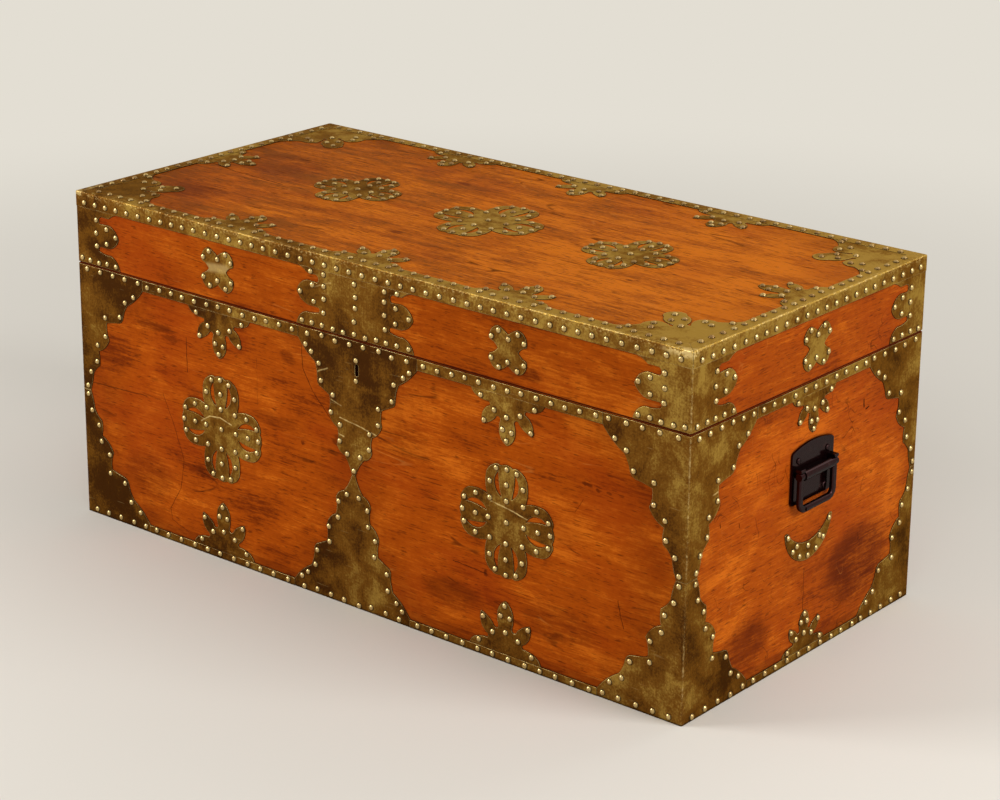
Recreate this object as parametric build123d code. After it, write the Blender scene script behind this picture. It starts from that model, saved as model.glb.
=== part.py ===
"""Brass-bound storage chest with a hinged lid, end handles and a box lock.

Frame: the origin is at the middle of the underside, +Z is up, the front faces -Y
and the lid opens backwards about hinges on the +Y side. All sizes are in millimetres.
"""
import os
from math import acos, asin, cos, degrees, hypot, radians, sin, tan

from build123d import *

os.makedirs("parts", exist_ok=True)

# ---- Overall sizes, over the brass plates ----
chest_length = 1070.0
chest_depth = 523.0
chest_height = 485.0
box_height = 380.0  # from the floor to the line where the lid opens

# ---- Boards ----
wall = 15.0
lid_board = 14.0
bottom_board = 14.0
bottom_planks = 3
plank_gap = 0.6
bottom_rebate = 9.0  # how far the bottom is let into the walls
edge_relief = 1.2  # chamfer along the line where the lid closes
box_tails = 7
lid_tails = 2
tail_slope = 10.0  # degrees

# ---- Sheet brass ----
sheet = 0.8
strip_sheet = 1.2  # the edge strips are heavier than the plates
split_gap = 1.8  # brass stops this short of the closing line
seam_gap = 0.5  # between an upper and a lower plate
corner_round = 2.0  # outside radius where a sheet is folded round an edge
rim_strip_drop = 17.0  # lower edge of the rim strip, below the closing line
base_strip_height = 11.0
lid_strip_drop = 22.0
lid_strip_inset = 20.0
mitre_gap = 0.4
return_width = 30.0  # plain flange on the back face

# ---- Domed nails ----
dome_radius = 4.75
dome_height = 3.2
shank_radius = 1.1
shank_length = 10.0
shank_tip = 2.0
shank_clearance = 0.15
rim_pitch = 23.5
base_pitch = 26.0
lid_pitch = 22.0
lid_row_pitch = 18.0  # along the lower edge of the lid's plates
back_pitch = 46.0
hand_scatter = 1.0  # how far a hammered nail strays from its line
nail_margin = 0.4  # metal left between a nail's hole and the edge of its plate
hinge_nail_gap = 2.0  # between the end of a hinge and a nail head

# ---- Where the ornaments stand ----
ornament_set_back = 5.0  # end and top ornaments stand this far behind the middle
centre_plate_offset = -13.0  # the lower centre plate stands left of the middle
rosette_lift = 4.0
front_rosette_reach = 77.0
side_top_rosette_reach = 68.0
middle_top_rosette_reach = 81.0
leaf_half_width = 59.0
upper_leaf_height = 66.0
lower_leaf_height = 74.0
end_leaf_half_width = 49.0
end_leaf_height = 54.0
top_leaf_height = 61.0
top_end_leaf_height = 72.0
quatrefoil_scale = 1.0
crescent_drop = 38.0  # from the handle plate down to the middle of the crescent
handle_drop = 80.0  # from the closing line down to the top of the handle plate

# ---- Keyhole and box lock ----
keyhole_drop = 41.5
keyhole_length = 17.0
keyhole_width = 6.0
lock_length = 90.0
lock_height = 62.0
lock_depth = 13.0
lock_sheet = 1.5
lock_below_rim = 3.0
bolt_length = 36.0
bolt_height = 7.0
bolt_thickness = 4.0
bolt_travel = 10.0
bolt_past_staple = 3.5  # when the bolt is shot
bolt_guide_length = 20.0
lock_flange = 13.0
bolt_fit = 0.1
bolt_drop = 12.0  # middle of the bolt, below the closing line
strike_width = 60.0
strike_height = 22.0
strike_sheet = 2.0
staple_width = 5.0
staple_bar = 2.2
staple_slack = 1.0

# ---- Hinges ----
hinge_offsets = (-350.0, 0.0, 350.0)
hinge_width = 60.0
hinge_knuckles = 5
hinge_leaf = 1.6
hinge_leaf_margin = 2.0  # wood left inside the leaf's recess
barrel_radius = 4.0
barrel_clearance = 0.5
pin_radius = 2.0
pin_clearance = 0.05
knuckle_gap = 0.3
lid_opening = 100.0  # degrees
toe_reach = 2.5
toe_thickness = 2.0
toe_clearance = 0.15

# ---- End handles ----
handle_width = 94.0
handle_plate_height = 78.0
handle_arch = 8.0
handle_sheet = 2.5
handle_corner = 5.0
bail_span = 76.0  # between the middles of the arms
bail_drop = 46.0  # from the pivot down to the middle of the grip
bail_arm_width = 9.0
bail_arm_thickness = 6.5
bail_grip_radius = 4.6
bail_bend = 11.0
bail_pin_radius = 3.2
bail_pin_length = 12.0
bail_clearance = 0.08
bail_side_gap = 0.6
pivot_drop = 38.0  # from the top of the plate down to the pivot
handle_barrel_radius = 6.6
pivot_stand_off = 9.6  # pivot axis out from the wood
lug_height = 4.5
lug_reach = 14.0
lug_gap = 0.4
bail_eye_radius = 5.2

# ---- Screws ----
screw_head_radius = 3.6
screw_head_depth = 2.2
screw_radius = 1.6
screw_length = 24.0
small_head_radius = 2.6
small_head_depth = 1.3
small_screw_radius = 1.1
small_screw_length = 9.0
round_head_radius = 4.4
round_head_height = 2.0
handle_screw_length = 12.0

# ---- Worked out from the sizes above ----
wood_length = chest_length - 2 * sheet
wood_depth = chest_depth - 2 * sheet
half_length = wood_length / 2
half_depth = wood_depth / 2
lid_top = chest_height - strip_sheet
rail_top = lid_top - lid_board
seam_height = box_height / 2
hole_radius = shank_radius + shank_clearance
handle_top = box_height - handle_drop
pivot_height = handle_top - pivot_drop
inner_face = half_depth - wall  # inner face of front and back boards, from the middle
hinge_axis_y = half_depth + strip_sheet + barrel_radius + barrel_clearance

SIDES = ("front", "right", "back", "left")
HALF_SPAN = {"front": half_length, "right": half_depth, "back": half_length, "left": half_depth}
HALF_OUT = {"front": half_depth, "right": half_length, "back": half_depth, "left": half_length}

parts = {}
studs = {}

# ---- Outlines, as corner, bow, corner, bow ... ----
# A bow is the height of the arc between two corners, outwards when positive.
# Corner plate: across from the upright edge, and away from the strip that it butts on.
CORNER_SCALLOPS = [
    (131, 0), 2.5, (98, 29), -1.5, (88, 51), 2, (77, 59), -0.5, (54, 64), -2,
    (58, 89), 3.5, (35, 110), 1.5, (36, 132), -1.5, (22, 147), 1, (15, 173)]
CORNER_NAILS = [
    (111, 13), (94, 24), (82, 49), (51, 57), (52, 85), (35, 101), (31, 125), (18, 145), (11, 166)]
# Lock and centre plates: half width from the middle line, and away from the strip.
CENTRE_SCALLOPS = [
    (105, 0), 2.5, (74, 28), -1.5, (69, 53), 2, (62, 62), 0, (46, 70), -1.5,
    (47, 93), 3, (31, 112), -2, (31, 135), 3, (17, 148), -1.5, (3, 173)]
CENTRE_NAILS = [
    (92, 7), (81, 17), (66, 30), (63, 52), (41, 69), (42, 92), (27, 108), (26, 131), (11, 145)]
# Leaf plate: half width from its middle line, and height above its foot.
LEAF_SCALLOPS = [
    (60, 0), 1.5, (51, 11), 1, (33, 15), -2.5, (29, 21), 6, (41, 50), 2,
    (20, 37), -4.5, (11, 38), 1, (13, 55), 3, (0, 74)]
LEAF_NAILS = [(45, 8), (22, 25), (38, 44), (8.5, 52)]
LEAF_MIDDLE_NAILS = [(0, 31), (0, 68)]
# Rosette: one side of one petal, from the notch to the tip.
PETAL_SCALLOPS = [(31, 31), 1.5, (34, 54), 3.5, (22, 73), 2, (10, 74), 0.6, (0, 77)]
PETAL_SLOT = [(13, 67), -9.5, (8, 32), 1.5, (13, 67)]
PETAL_NAILS = [(17, 69), (27, 50)]
PETAL_MIDDLE_NAILS = [(0, 72), (0, 51), (0, 29)]
# Quatrefoil: from the side notch, round one lobe, to the notch above.
FOIL_SCALLOPS = [(16, 0), -1.5, (29, 9), 5.5, (16, 29), 1, (0, 20)]
FOIL_NAILS = [(26, 14), (15, 24)]
FOIL_MIDDLE_NAIL = (0, 15)
# Lid plates: out to the lobes, and up from the lower edge.
LID_SCALLOPS = [
    (86, 0), 4, (68, 19), -1, (48, 21), -3.5, (47, 29), 0, (62, 29), 4, (85, 45), 4,
    (65, 63), 0, (48, 62), -3.5, (50, 73), 0, (66, 73), -1.2, (83, 81)]
LID_SCALLOP_HEIGHT = 81.0
LID_CORNER_NAILS = [(40, 67), (40, 47), (40, 28), (61, 58), (79, 48), (61, 35)]
LID_CENTRE_NAILS = [
    (54, 75), (54, 60), (54, 42), (54, 23), (73, 57), (95, 46), (72, 35), (76, 77),
    (19, 5), (38, 5.5), (57, 5), (75.5, 5.5), (94, 5.5)]
LID_CENTRE_MIDDLE_NAILS = [(2, 73), (2, 57), (2, 41), (1, 23), (0, 6)]
# Leafed corner plate on top: one half, from its foot to the tip of the diagonal leaf.
TOP_CORNER_SCALLOPS = [
    (114, 0), -3, (90, 24), 4, (82, 46), 3, (58, 40), -2, (59, 47), 5, (86, 66), 6, (88, 88)]
TOP_CORNER_NAILS = [(97, 6), (73, 21), (80, 36), (71, 59)]
TOP_CORNER_MIDDLE_NAILS = [(81, 81), (48, 48)]
# Crescent under the handle, from tip to tip below and back above.
CRESCENT = [(-54, 24), 48, (54, 24), 3, (44, 20), -19, (-44, 20), 3, (-54, 24)]
CRESCENT_NAILS = [
    (-47, 19), (47, 19), (-35, -3.5), (35, -3.5), (-19, -14.5), (19, -14.5), (0, -18.5),
    (-26, 1.5), (26, 1.5), (0, -5)]
CORNER_PATTERN_HEIGHT = 173.0
LEAF_PATTERN = (60.0, 74.0)
PETAL_PATTERN = 77.0

lid_plate_height = chest_height - lid_strip_drop - box_height - split_gap
lid_stretch = lid_plate_height / LID_SCALLOP_HEIGHT


# ---- Outlines ----
def fitted(pattern, across=1.0, up=1.0, shift=0.0, lift=0.0):
    """The pattern stretched and moved, with its bows stretched too."""
    found = []
    for index, item in enumerate(pattern):
        if isinstance(item, tuple):
            found.append((item[0] * across + shift, item[1] * up + lift))
            continue
        run_across = pattern[index + 1][0] - pattern[index - 1][0]
        run_up = pattern[index + 1][1] - pattern[index - 1][1]
        longer = hypot(run_across * across, run_up * up) / hypot(run_across, run_up)
        found.append(item * across * up / longer)
    return found


def stretches_of(pattern):
    """The pattern as stretches of (start, middle or None, end)."""
    found = []
    for start, bow, end in zip(pattern[0::2], pattern[1::2], pattern[2::2]):
        run_across = end[0] - start[0]
        run_up = end[1] - start[1]
        length = hypot(run_across, run_up)
        if length < 1e-6:
            continue
        middle = (
            (start[0] + end[0]) / 2 + bow * run_up / length,
            (start[1] + end[1]) / 2 - bow * run_across / length)
        found.append((start, middle if bow else None, end))
    return found


def moved(stretches, rule):
    """The stretches with every point passed through the rule."""
    return [(rule(*a), rule(*m) if m else None, rule(*b)) for a, m, b in stretches]


def reversed_run(stretches):
    return [(b, m, a) for a, m, b in reversed(stretches)]


def mirrored_pair(stretches):
    """A run that ends on the middle line, and its mirror image after it."""
    return stretches + reversed_run(moved(stretches, lambda across, up: (-across, up)))


def quarter_turned(stretches, quarters):
    c = round(cos(radians(90 * quarters)))
    s = round(sin(radians(90 * quarters)))
    return moved(stretches, lambda across, up: (across * c - up * s, across * s + up * c))


def closed_wire(stretches):
    """The stretches joined and closed to one flat wire; gaps between them become straight."""
    edges = []
    last = stretches[-1][2]
    for start, middle, end in stretches:
        if hypot(start[0] - last[0], start[1] - last[1]) > 1e-6:
            edges.append(Line(last, start))
        edges.append(Line(start, end) if middle is None else ThreePointArc(start, middle, end))
        last = end
    return Wire(edges)


def chords_of(outline, count=8):
    """Short straight lines that follow a flat wire closely."""
    found = []
    for edge in outline.edges():
        steps = 1 if edge.geom_type == GeomType.LINE else count
        points = [edge @ (index / steps) for index in range(steps + 1)]
        found += zip(points, points[1:])
    return found


def stands_inside(spot, chords, margin):
    """Whether a place lies inside the lines, and at least the margin away from them."""
    across, up = spot
    level = up + 0.0001  # off every corner that is exactly as high as the place
    inside = False
    for start, end in chords:
        run = end - start
        along = (across - start.X) * run.X + (up - start.Y) * run.Y
        share = min(1.0, max(0.0, along / (run.X ** 2 + run.Y ** 2)))
        if hypot(start.X + share * run.X - across, start.Y + share * run.Y - up) < margin:
            return False
        if (start.Y > level) != (end.Y > level) and across < start.X + (up - start.Y) * run.X / run.Y:
            inside = not inside
    return inside


def with_room(nails, outline):
    """The nails whose holes lie well inside the outline and whose heads clear those before them."""
    chords = chords_of(outline)
    kept = []
    for nail in nails:
        apart = all(hypot(nail[0] - other[0], nail[1] - other[1]) > 2 * dome_radius for other in kept)
        if apart and stands_inside(nail, chords, hole_radius + nail_margin):
            kept.append(nail)
    return kept


def both_hands(points):
    return [(hand * across, up) for across, up in points for hand in (-1, 1)]


# ---- Faces of the chest ----
def side_plane(side):
    """The wooden face of one side, with its own x running to the right as seen from outside."""
    turn = radians(90 * SIDES.index(side))
    outward = Vector(sin(turn), -cos(turn), 0)
    along = Vector(cos(turn), sin(turn), 0)
    return Plane(origin=outward * HALF_OUT[side], x_dir=along, z_dir=outward)


top_plane = Plane(origin=(0, 0, lid_top), x_dir=(1, 0, 0), z_dir=(0, 0, 1))


# ---- Nails, screws and sheets ----
def make_stud():
    """A cast nail whose head is the cap of a ball; the head rests on z = 0."""
    ball = (dome_radius ** 2 + dome_height ** 2) / (2 * dome_height)
    half_turn = asin(dome_radius / ball) / 2
    middle_height = dome_height - ball * (1 - cos(half_turn))
    profile = Face(Wire([
        Line((0, 0, -shank_length), (shank_radius, 0, shank_tip - shank_length)),
        Line((shank_radius, 0, shank_tip - shank_length), (shank_radius, 0, 0)),
        Line((shank_radius, 0, 0), (dome_radius, 0, 0)),
        ThreePointArc((dome_radius, 0, 0), (ball * sin(half_turn), 0, middle_height), (0, 0, dome_height)),
        Line((0, 0, dome_height), (0, 0, -shank_length))]))
    return solid_of(revolve(profile, Axis.Z))


def make_screw(head_radius, head_depth, radius, length):
    """A countersunk screw with its head's face on z = 0, pointing down."""
    head = Pos(0, 0, -head_depth / 2) * Cone(radius, head_radius, head_depth)
    shank = Pos(0, 0, -length / 2) * Cylinder(radius, length)
    return solid_of(head + shank)


def solid_of(shape):
    """The one solid of a shape, turned right side out."""
    found = shape.solids()[0]
    return Solid(found.wrapped.Reversed()) if found.volume < 0 else found


stud = make_stud()


def hand_set(points):
    """Nail places strayed a little from their line, as a hammer leaves them."""
    return [
        (across + hand_scatter * sin(0.9 * across + 2.1 * up), up + hand_scatter * sin(1.7 * across + up))
        for across, up in points]


def drive(node, plane, places, lift):
    """Puts domed nails in a face, with their heads on metal that is `lift` thick."""
    for across, up in places:
        spot = plane.location * Location((across, up, lift))
        studs.setdefault(node, []).append(stud.moved(spot))


def nailed_sheet(node, plane, stretches, nails, thickness, openings=()):
    """A flat sheet on a face, with the nails that it has room for driven through it."""
    outline = closed_wire(stretches)
    places = with_room(nails, outline)
    drive(node, plane, places, thickness)
    holes = [Wire([Edge.make_circle(hole_radius, Plane((across, up, 0)))]) for across, up in places]
    flat = Face(outline, holes + list(openings))
    return Solid.extrude(flat.moved(plane.location), plane.z_dir * thickness)


def nail_row(start, end, level, pitch):
    """Nails evenly spaced between two ends, half a space in from each."""
    count = max(1, round(abs(end - start) / pitch))
    step = (end - start) / count
    return hand_set([(start + step * (index + 0.5), level) for index in range(count)])


def rectangle(low_across, low_up, high_across, high_up):
    corners = [(low_across, low_up), (high_across, low_up), (high_across, high_up), (low_across, high_up)]
    return [(a, None, b) for a, b in zip(corners, corners[1:] + corners[:1])]


def keep(node, *solids):
    parts.setdefault(node, []).extend(solids)


# ---- Wooden boards ----
def tail_outlines(low, high, count):
    """Heights of each dovetail: (lower root, lower tip, upper tip, upper root)."""
    pitch = (high - low) / count
    flare = wall * tan(radians(tail_slope))
    root = pitch / 4
    middles = [low + pitch * (index + 0.5) for index in range(count)]
    return [(m - root, m - root - flare, m + root + flare, m + root) for m in middles]


def tailed_board(low, high, count):
    """A long board with dovetails at both ends, standing in the XZ plane from y = 0 to y = wall."""
    root = half_length - wall
    right = [(root, low)]
    for lower_root, lower_tip, upper_tip, upper_root in tail_outlines(low, high, count):
        right += [(root, lower_root), (half_length, lower_tip), (half_length, upper_tip), (root, upper_root)]
    right.append((root, high))
    left = [(-across, up) for across, up in reversed(right)]
    outline = Wire(Polyline([(across, 0, up) for across, up in right + left], close=True).edges())
    return Solid.extrude(Face(outline), Vector(0, wall, 0))


def socketed_board(low, high, count):
    """An end board at the right, cut out for the tails of the front and back boards."""
    root = half_length - wall
    board = Pos(root + wall / 2, 0, (low + high) / 2) * Box(wall, wood_depth, high - low)
    for lower_root, lower_tip, upper_tip, upper_root in tail_outlines(low, high, count):
        corners = [
            (root, 0, lower_root), (half_length, 0, lower_tip),
            (half_length, 0, upper_tip), (root, 0, upper_root)]
        tail = Solid.extrude(Face(Wire(Polyline(corners, close=True).edges())), Vector(0, wall, 0))
        board -= [Pos(0, -half_depth, 0) * tail, Pos(0, half_depth - wall, 0) * tail]
    return board


def edge_relief_cutter(level, towards):
    """What the chamfer takes off along the closing line; towards is the side where the wood is."""
    core = extrude(
        Plane((0, 0, level + towards * edge_relief)) * Rectangle(wood_length, wood_depth),
        amount=-towards * edge_relief,
        taper=45)
    block = Pos(0, 0, level + towards * edge_relief / 2) * Box(wood_length + 2, wood_depth + 2, edge_relief)
    return block - core


def hinge_recess(level, towards):
    """The recesses of the hinge leaves in a back edge; towards is the side where the wood is."""
    depth = wall - hinge_leaf_margin
    recess = Box(hinge_width, depth, hinge_leaf)
    places = [(x, half_depth - depth / 2, level + towards * hinge_leaf / 2) for x in hinge_offsets]
    return [Pos(*place) * recess for place in places]


def bottom_block():
    inset = wall - bottom_rebate
    return Pos(0, 0, bottom_board / 2) * Box(
        wood_length - 2 * inset, wood_depth - 2 * inset, bottom_board)


def make_box_boards():
    relief = edge_relief_cutter(box_height, -1)
    rebate = bottom_block()
    long_board = tailed_board(0, box_height, box_tails)
    end_board = socketed_board(0, box_height, box_tails) - relief - rebate
    keyhole = Pos(0, -half_depth + wall / 2, box_height - keyhole_drop) * extrude(
        Plane.XZ * SlotOverall(keyhole_length, keyhole_width, rotation=90), amount=wall, both=True)
    keep("front_board", Pos(0, -half_depth, 0) * long_board - relief - rebate - keyhole)
    keep("back_board", Pos(0, inner_face, 0) * long_board - relief - rebate - hinge_recess(box_height, -1))
    keep("right_end_board", end_board)
    keep("left_end_board", mirror(end_board, Plane.YZ))


def screw_spots():
    """Where the bottom is screwed up into the walls."""
    from_edge = wall - bottom_rebate / 2
    spots = [
        (half_length * share, hand * (half_depth - from_edge))
        for share in (-0.8, -0.4, 0.0, 0.4, 0.8) for hand in (-1, 1)]
    spots += [
        (hand * (half_length - from_edge), half_depth * share)
        for share in (-0.18, 0.18) for hand in (-1, 1)]
    return spots


def make_bottom():
    screw = Rot(180, 0, 0) * make_screw(screw_head_radius, screw_head_depth, screw_radius, screw_length)
    screws = [Pos(x, y, 0) * screw for x, y in screw_spots()]
    inset = wall - bottom_rebate
    plank = (wood_depth - 2 * inset) / bottom_planks
    block = bottom_block() - screws
    for index in range(1, bottom_planks):
        joint = -half_depth + inset + plank * index
        block -= Pos(0, joint, bottom_board / 2) * Box(wood_length, plank_gap, bottom_board * 2)
    keep("bottom_boards", *block.solids())
    keep("bottom_screws", *screws)


def make_lid_boards():
    relief = edge_relief_cutter(box_height, 1)
    long_rail = tailed_board(box_height, rail_top, lid_tails)
    end_rail = socketed_board(box_height, rail_top, lid_tails) - relief
    keep("lid_front_rail", Pos(0, -half_depth, 0) * long_rail - relief)
    keep("lid_back_rail", Pos(0, inner_face, 0) * long_rail - relief - hinge_recess(box_height, 1))
    keep("lid_right_rail", end_rail)
    keep("lid_left_rail", mirror(end_rail, Plane.YZ))
    keep("lid_top_board", Pos(0, 0, rail_top + lid_board / 2) * Box(wood_length, wood_depth, lid_board))


# ---- Plates round the upright edges ----
def wing_kind(side, hand):
    """How much wider a wing is than the pattern; None for the plain return on the back."""
    if side == "back":
        return None
    if side == "front":
        return 0.0
    towards_front = (side == "right") == (hand < 0)
    return 8.0 if towards_front else -3.0


def wing(side, hand, pattern, nails, head, rule, thickness, plain_height, row, node):
    """One wing of a folded plate, at the left (-1) or right (1) edge of a side.

    The row of nails along its straight edge is given as (start, past the foot, level, pitch).
    """
    widen = wing_kind(side, hand)
    edge = HALF_SPAN[side] + sheet

    def place(across, up):
        return (hand * (edge - across), rule(up))

    if widen is None:
        run = [(0, -head), 0, (return_width, -head), 0, (return_width, plain_height), 0, (0, plain_height)]
        spots = nail_row(-head, plain_height, return_width * 0.55, back_pitch)
        spots = [(across, up) for up, across in spots]
    else:
        fitted_run = fitted(pattern, shift=widen)
        widest = fitted_run[0][0]
        run = [(0, -head), 0, (widest, -head), 0] + fitted_run + [0, (0, fitted_run[-1][1])]
        spots = hand_set(fitted(nails, shift=widen))
        row_start, row_past, row_level, row_pitch = row
        spots += nail_row(row_start, widest + row_past, row_level, row_pitch)
    outline = moved(stretches_of(run), place)
    return nailed_sheet(node, side_plane(side), outline, [place(*spot) for spot in spots], thickness)


def folded_plate(corner, build_wing):
    """Two wings joined round an upright edge; corner 0 is front right, then counter-clockwise."""
    first = SIDES[corner]
    second = SIDES[(corner + 1) % 4]
    plate = build_wing(first, 1) + build_wing(second, -1)
    x_hand = 1 if corner in (0, 1) else -1
    y_hand = 1 if corner in (1, 2) else -1
    outer = plate.edges().filter_by(Axis.Z).sort_by(
        lambda edge: edge.center().X * x_hand + edge.center().Y * y_hand)[-1]
    return solid_of(fillet(outer, corner_round))


CORNER_NAMES = ("front_right", "back_right", "back_left", "front_left")


def make_corner_plates():
    upper_head = rim_strip_drop - split_gap
    upper_height = box_height - rim_strip_drop - seam_height - seam_gap / 2
    lower_height = seam_height - seam_gap / 2 - base_strip_height
    for corner, name in enumerate(CORNER_NAMES):
        for level, head, height, rule, row_level, pitch in (
                ("upper", upper_head, upper_height,
                 lambda up: box_height - rim_strip_drop - up, 8 - rim_strip_drop, rim_pitch),
                ("lower", base_strip_height, lower_height,
                 lambda up: base_strip_height + up, 6.5 - base_strip_height, base_pitch)):
            stretch = height / CORNER_PATTERN_HEIGHT
            pattern = fitted(CORNER_SCALLOPS, up=stretch)
            nails = fitted(CORNER_NAILS, up=stretch)

            def build_wing(side, hand):
                row = (6.0, 4.0, row_level, pitch)
                return wing(
                    side, hand, pattern, nails, head, rule, sheet, height, row, "studs_" + side)

            keep(f"corner_plate_{level}_{name}", folded_plate(corner, build_wing))


def make_lid_corner_plates():
    low = box_height + split_gap
    pattern = fitted(LID_SCALLOPS, up=lid_stretch)
    nails = fitted(LID_CORNER_NAILS, up=lid_stretch)

    def build_wing(side, hand):
        row = (0.0 if side == "front" else 4.0, 1.0, 5.5, lid_row_pitch)
        return wing(
            side, hand, pattern, nails, 0.0, lambda up: low + up, sheet, lid_plate_height, row,
            "lid_studs_sides")

    for corner, name in enumerate(CORNER_NAMES):
        keep(f"lid_corner_plate_{name}", folded_plate(corner, build_wing))


# ---- Plates on the front ----
def centre_plate(head, height, rule, axis, lean, row_level, pitch, apex_nail, openings=(), extra_nails=()):
    """A plate that tapers from a strip to a point; lean is how far the point stands off its axis."""
    stretch = height / CORNER_PATTERN_HEIGHT

    def place(across, up):
        return (axis + across + lean * max(up, 0) / height, rule(up))

    half = stretches_of(fitted(CENTRE_SCALLOPS, up=stretch))
    foot = CENTRE_SCALLOPS[0][0]
    head_run = [((foot, -head), None, (foot, 0))]
    outline = moved(mirrored_pair(head_run + half), place)
    spots = both_hands(fitted(CENTRE_NAILS, up=stretch)) + nail_row(6 - foot, foot - 6, row_level, pitch)
    if apex_nail:
        spots.append((0, height - 5))
    places = [place(*spot) for spot in hand_set(spots)] + list(extra_nails)
    return nailed_sheet("studs_front", side_plane("front"), outline, places, sheet, openings)


def make_front_plates():
    keyhole_height = box_height - keyhole_drop
    keyhole_half = keyhole_length / 2
    slot = Wire(SlotOverall(keyhole_length, keyhole_width, rotation=90).edges())
    keep("lock_plate", centre_plate(
        rim_strip_drop - split_gap,
        box_height - rim_strip_drop - seam_height - seam_gap / 2,
        lambda up: box_height - rim_strip_drop - up,
        0.0, -7.0, 8 - rim_strip_drop, rim_pitch, True,
        [slot.moved(Location((0, keyhole_height, 0)))],
        [(-1, keyhole_height + keyhole_half + 5), (-1, keyhole_height - keyhole_half - 6)]))
    keep("centre_plate", centre_plate(
        base_strip_height,
        seam_height - seam_gap / 2 - base_strip_height,
        lambda up: base_strip_height + up,
        centre_plate_offset, 6.0, 6.5 - base_strip_height, base_pitch, False))


def leaf_plate(plane, node, origin, direction, half_width, height):
    """A three-leafed plate; direction is the quarter turn from pointing up."""
    across_scale = half_width / LEAF_PATTERN[0]
    up_scale = height / LEAF_PATTERN[1]
    half = stretches_of(fitted(LEAF_SCALLOPS, across=across_scale, up=up_scale))
    outline = quarter_turned(mirrored_pair(half), direction)
    outline = moved(outline, lambda across, up: (across + origin[0], up + origin[1]))
    spots = hand_set(fitted(both_hands(LEAF_NAILS) + LEAF_MIDDLE_NAILS, across_scale, up_scale))
    c = round(cos(radians(90 * direction)))
    s = round(sin(radians(90 * direction)))
    places = [(a * c - u * s + origin[0], a * s + u * c + origin[1]) for a, u in spots]
    return nailed_sheet(node, plane, outline, places, sheet)


def rosette(plane, node, centre, reach):
    """Four petals, each of three leaves parted by two slots."""
    scale = reach / PETAL_PATTERN
    half = stretches_of(fitted(PETAL_SCALLOPS, scale, scale))
    slot = stretches_of(fitted(PETAL_SLOT, scale, scale))
    other_slot = reversed_run(moved(slot, lambda across, up: (-across, up)))
    outline = []
    openings = []
    spots = [(0, 0)]
    for quarter in range(4):
        outline += quarter_turned(mirrored_pair(half), quarter)
        for cut in (slot, other_slot):
            turned = quarter_turned(cut, quarter)
            openings.append(closed_wire(moved(turned, lambda a, u: (a + centre[0], u + centre[1]))))
        c = round(cos(radians(90 * quarter)))
        s = round(sin(radians(90 * quarter)))
        petal = both_hands(PETAL_NAILS) + PETAL_MIDDLE_NAILS + [(27, 27)]
        spots += [(a * c - u * s, a * s + u * c) for a, u in petal]
    places = [(a * scale + centre[0], u * scale + centre[1]) for a, u in spots]
    places = [(a + 0.6 * sin(a + 2 * u), u + 0.6 * sin(1.7 * a)) for a, u in places]
    outline = moved(outline, lambda across, up: (across + centre[0], up + centre[1]))
    return nailed_sheet(node, plane, outline, places, sheet, openings)


def quatrefoil(plane, node, centre, scale):
    """A four-lobed plate with its lobes on the diagonals."""
    quarter = stretches_of(fitted(FOIL_SCALLOPS, scale, scale))
    upper = mirrored_pair(quarter)
    outline = upper + quarter_turned(upper, 2)
    spots = both_hands(FOIL_NAILS + [(x, -y) for x, y in FOIL_NAILS])
    spots += [FOIL_MIDDLE_NAIL, (0, -FOIL_MIDDLE_NAIL[1])]
    places = [(a * scale + centre[0], u * scale + centre[1]) for a, u in spots]
    places = [(a + 0.8 * sin(a + 2 * u), u + 0.8 * sin(1.7 * a)) for a, u in places]
    outline = moved(outline, lambda across, up: (across + centre[0], up + centre[1]))
    return nailed_sheet(node, plane, outline, places, sheet)


def quarter_place():
    """Middle of the bare wood between a corner plate and the centre plate."""
    return (half_length + sheet - CORNER_SCALLOPS[0][0] + CENTRE_SCALLOPS[0][0]) / 2


def make_box_ornaments():
    front = side_plane("front")
    rim = box_height - rim_strip_drop
    for hand, name in ((-1, "left"), (1, "right")):
        place = hand * quarter_place()
        keep(f"rosette_front_{name}", rosette(
            front, "studs_front", (place, seam_height + rosette_lift), front_rosette_reach))
        keep("leaf_plates_front", leaf_plate(
            front, "studs_front", (place, rim), 2, leaf_half_width, upper_leaf_height))
        keep("leaf_plates_front", leaf_plate(
            front, "studs_front", (place, base_strip_height), 0, leaf_half_width, lower_leaf_height))
    crescent_height = handle_top - handle_plate_height - crescent_drop - CRESCENT[0][1]
    for side, hand in (("right", 1), ("left", -1)):
        plane = side_plane(side)
        middle = hand * ornament_set_back
        node = "studs_" + side
        for foot, direction in ((rim, 2), (base_strip_height, 0)):
            keep("leaf_plates_ends", leaf_plate(
                plane, node, (middle, foot), direction, end_leaf_half_width, end_leaf_height))
        outline = stretches_of(fitted(CRESCENT, shift=middle, lift=crescent_height))
        places = fitted(CRESCENT_NAILS, shift=middle, lift=crescent_height)
        keep("crescents", nailed_sheet(node, plane, outline, places, sheet))


# ---- Strips ----
def wing_reach(side, hand, pattern):
    widen = wing_kind(side, hand)
    return return_width if widen is None else pattern[0][0] + widen


def strip_runs(side, middle_plate):
    """The stretches of one side's strip that lie between its plates."""
    low = -(HALF_SPAN[side] + sheet) + wing_reach(side, -1, CORNER_SCALLOPS)
    high = HALF_SPAN[side] + sheet - wing_reach(side, 1, CORNER_SCALLOPS)
    if side != "front":
        return [(low, high)]
    foot = CENTRE_SCALLOPS[0][0]
    return [(low, middle_plate - foot), (middle_plate + foot, high)]


def clear_of_hinges(places):
    """The places on the back where no hinge is in the way of the hammer."""
    reach = hinge_width / 2 + dome_radius + hinge_nail_gap
    return [spot for spot in places if all(abs(spot[0] + x) > reach for x in hinge_offsets)]


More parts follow.
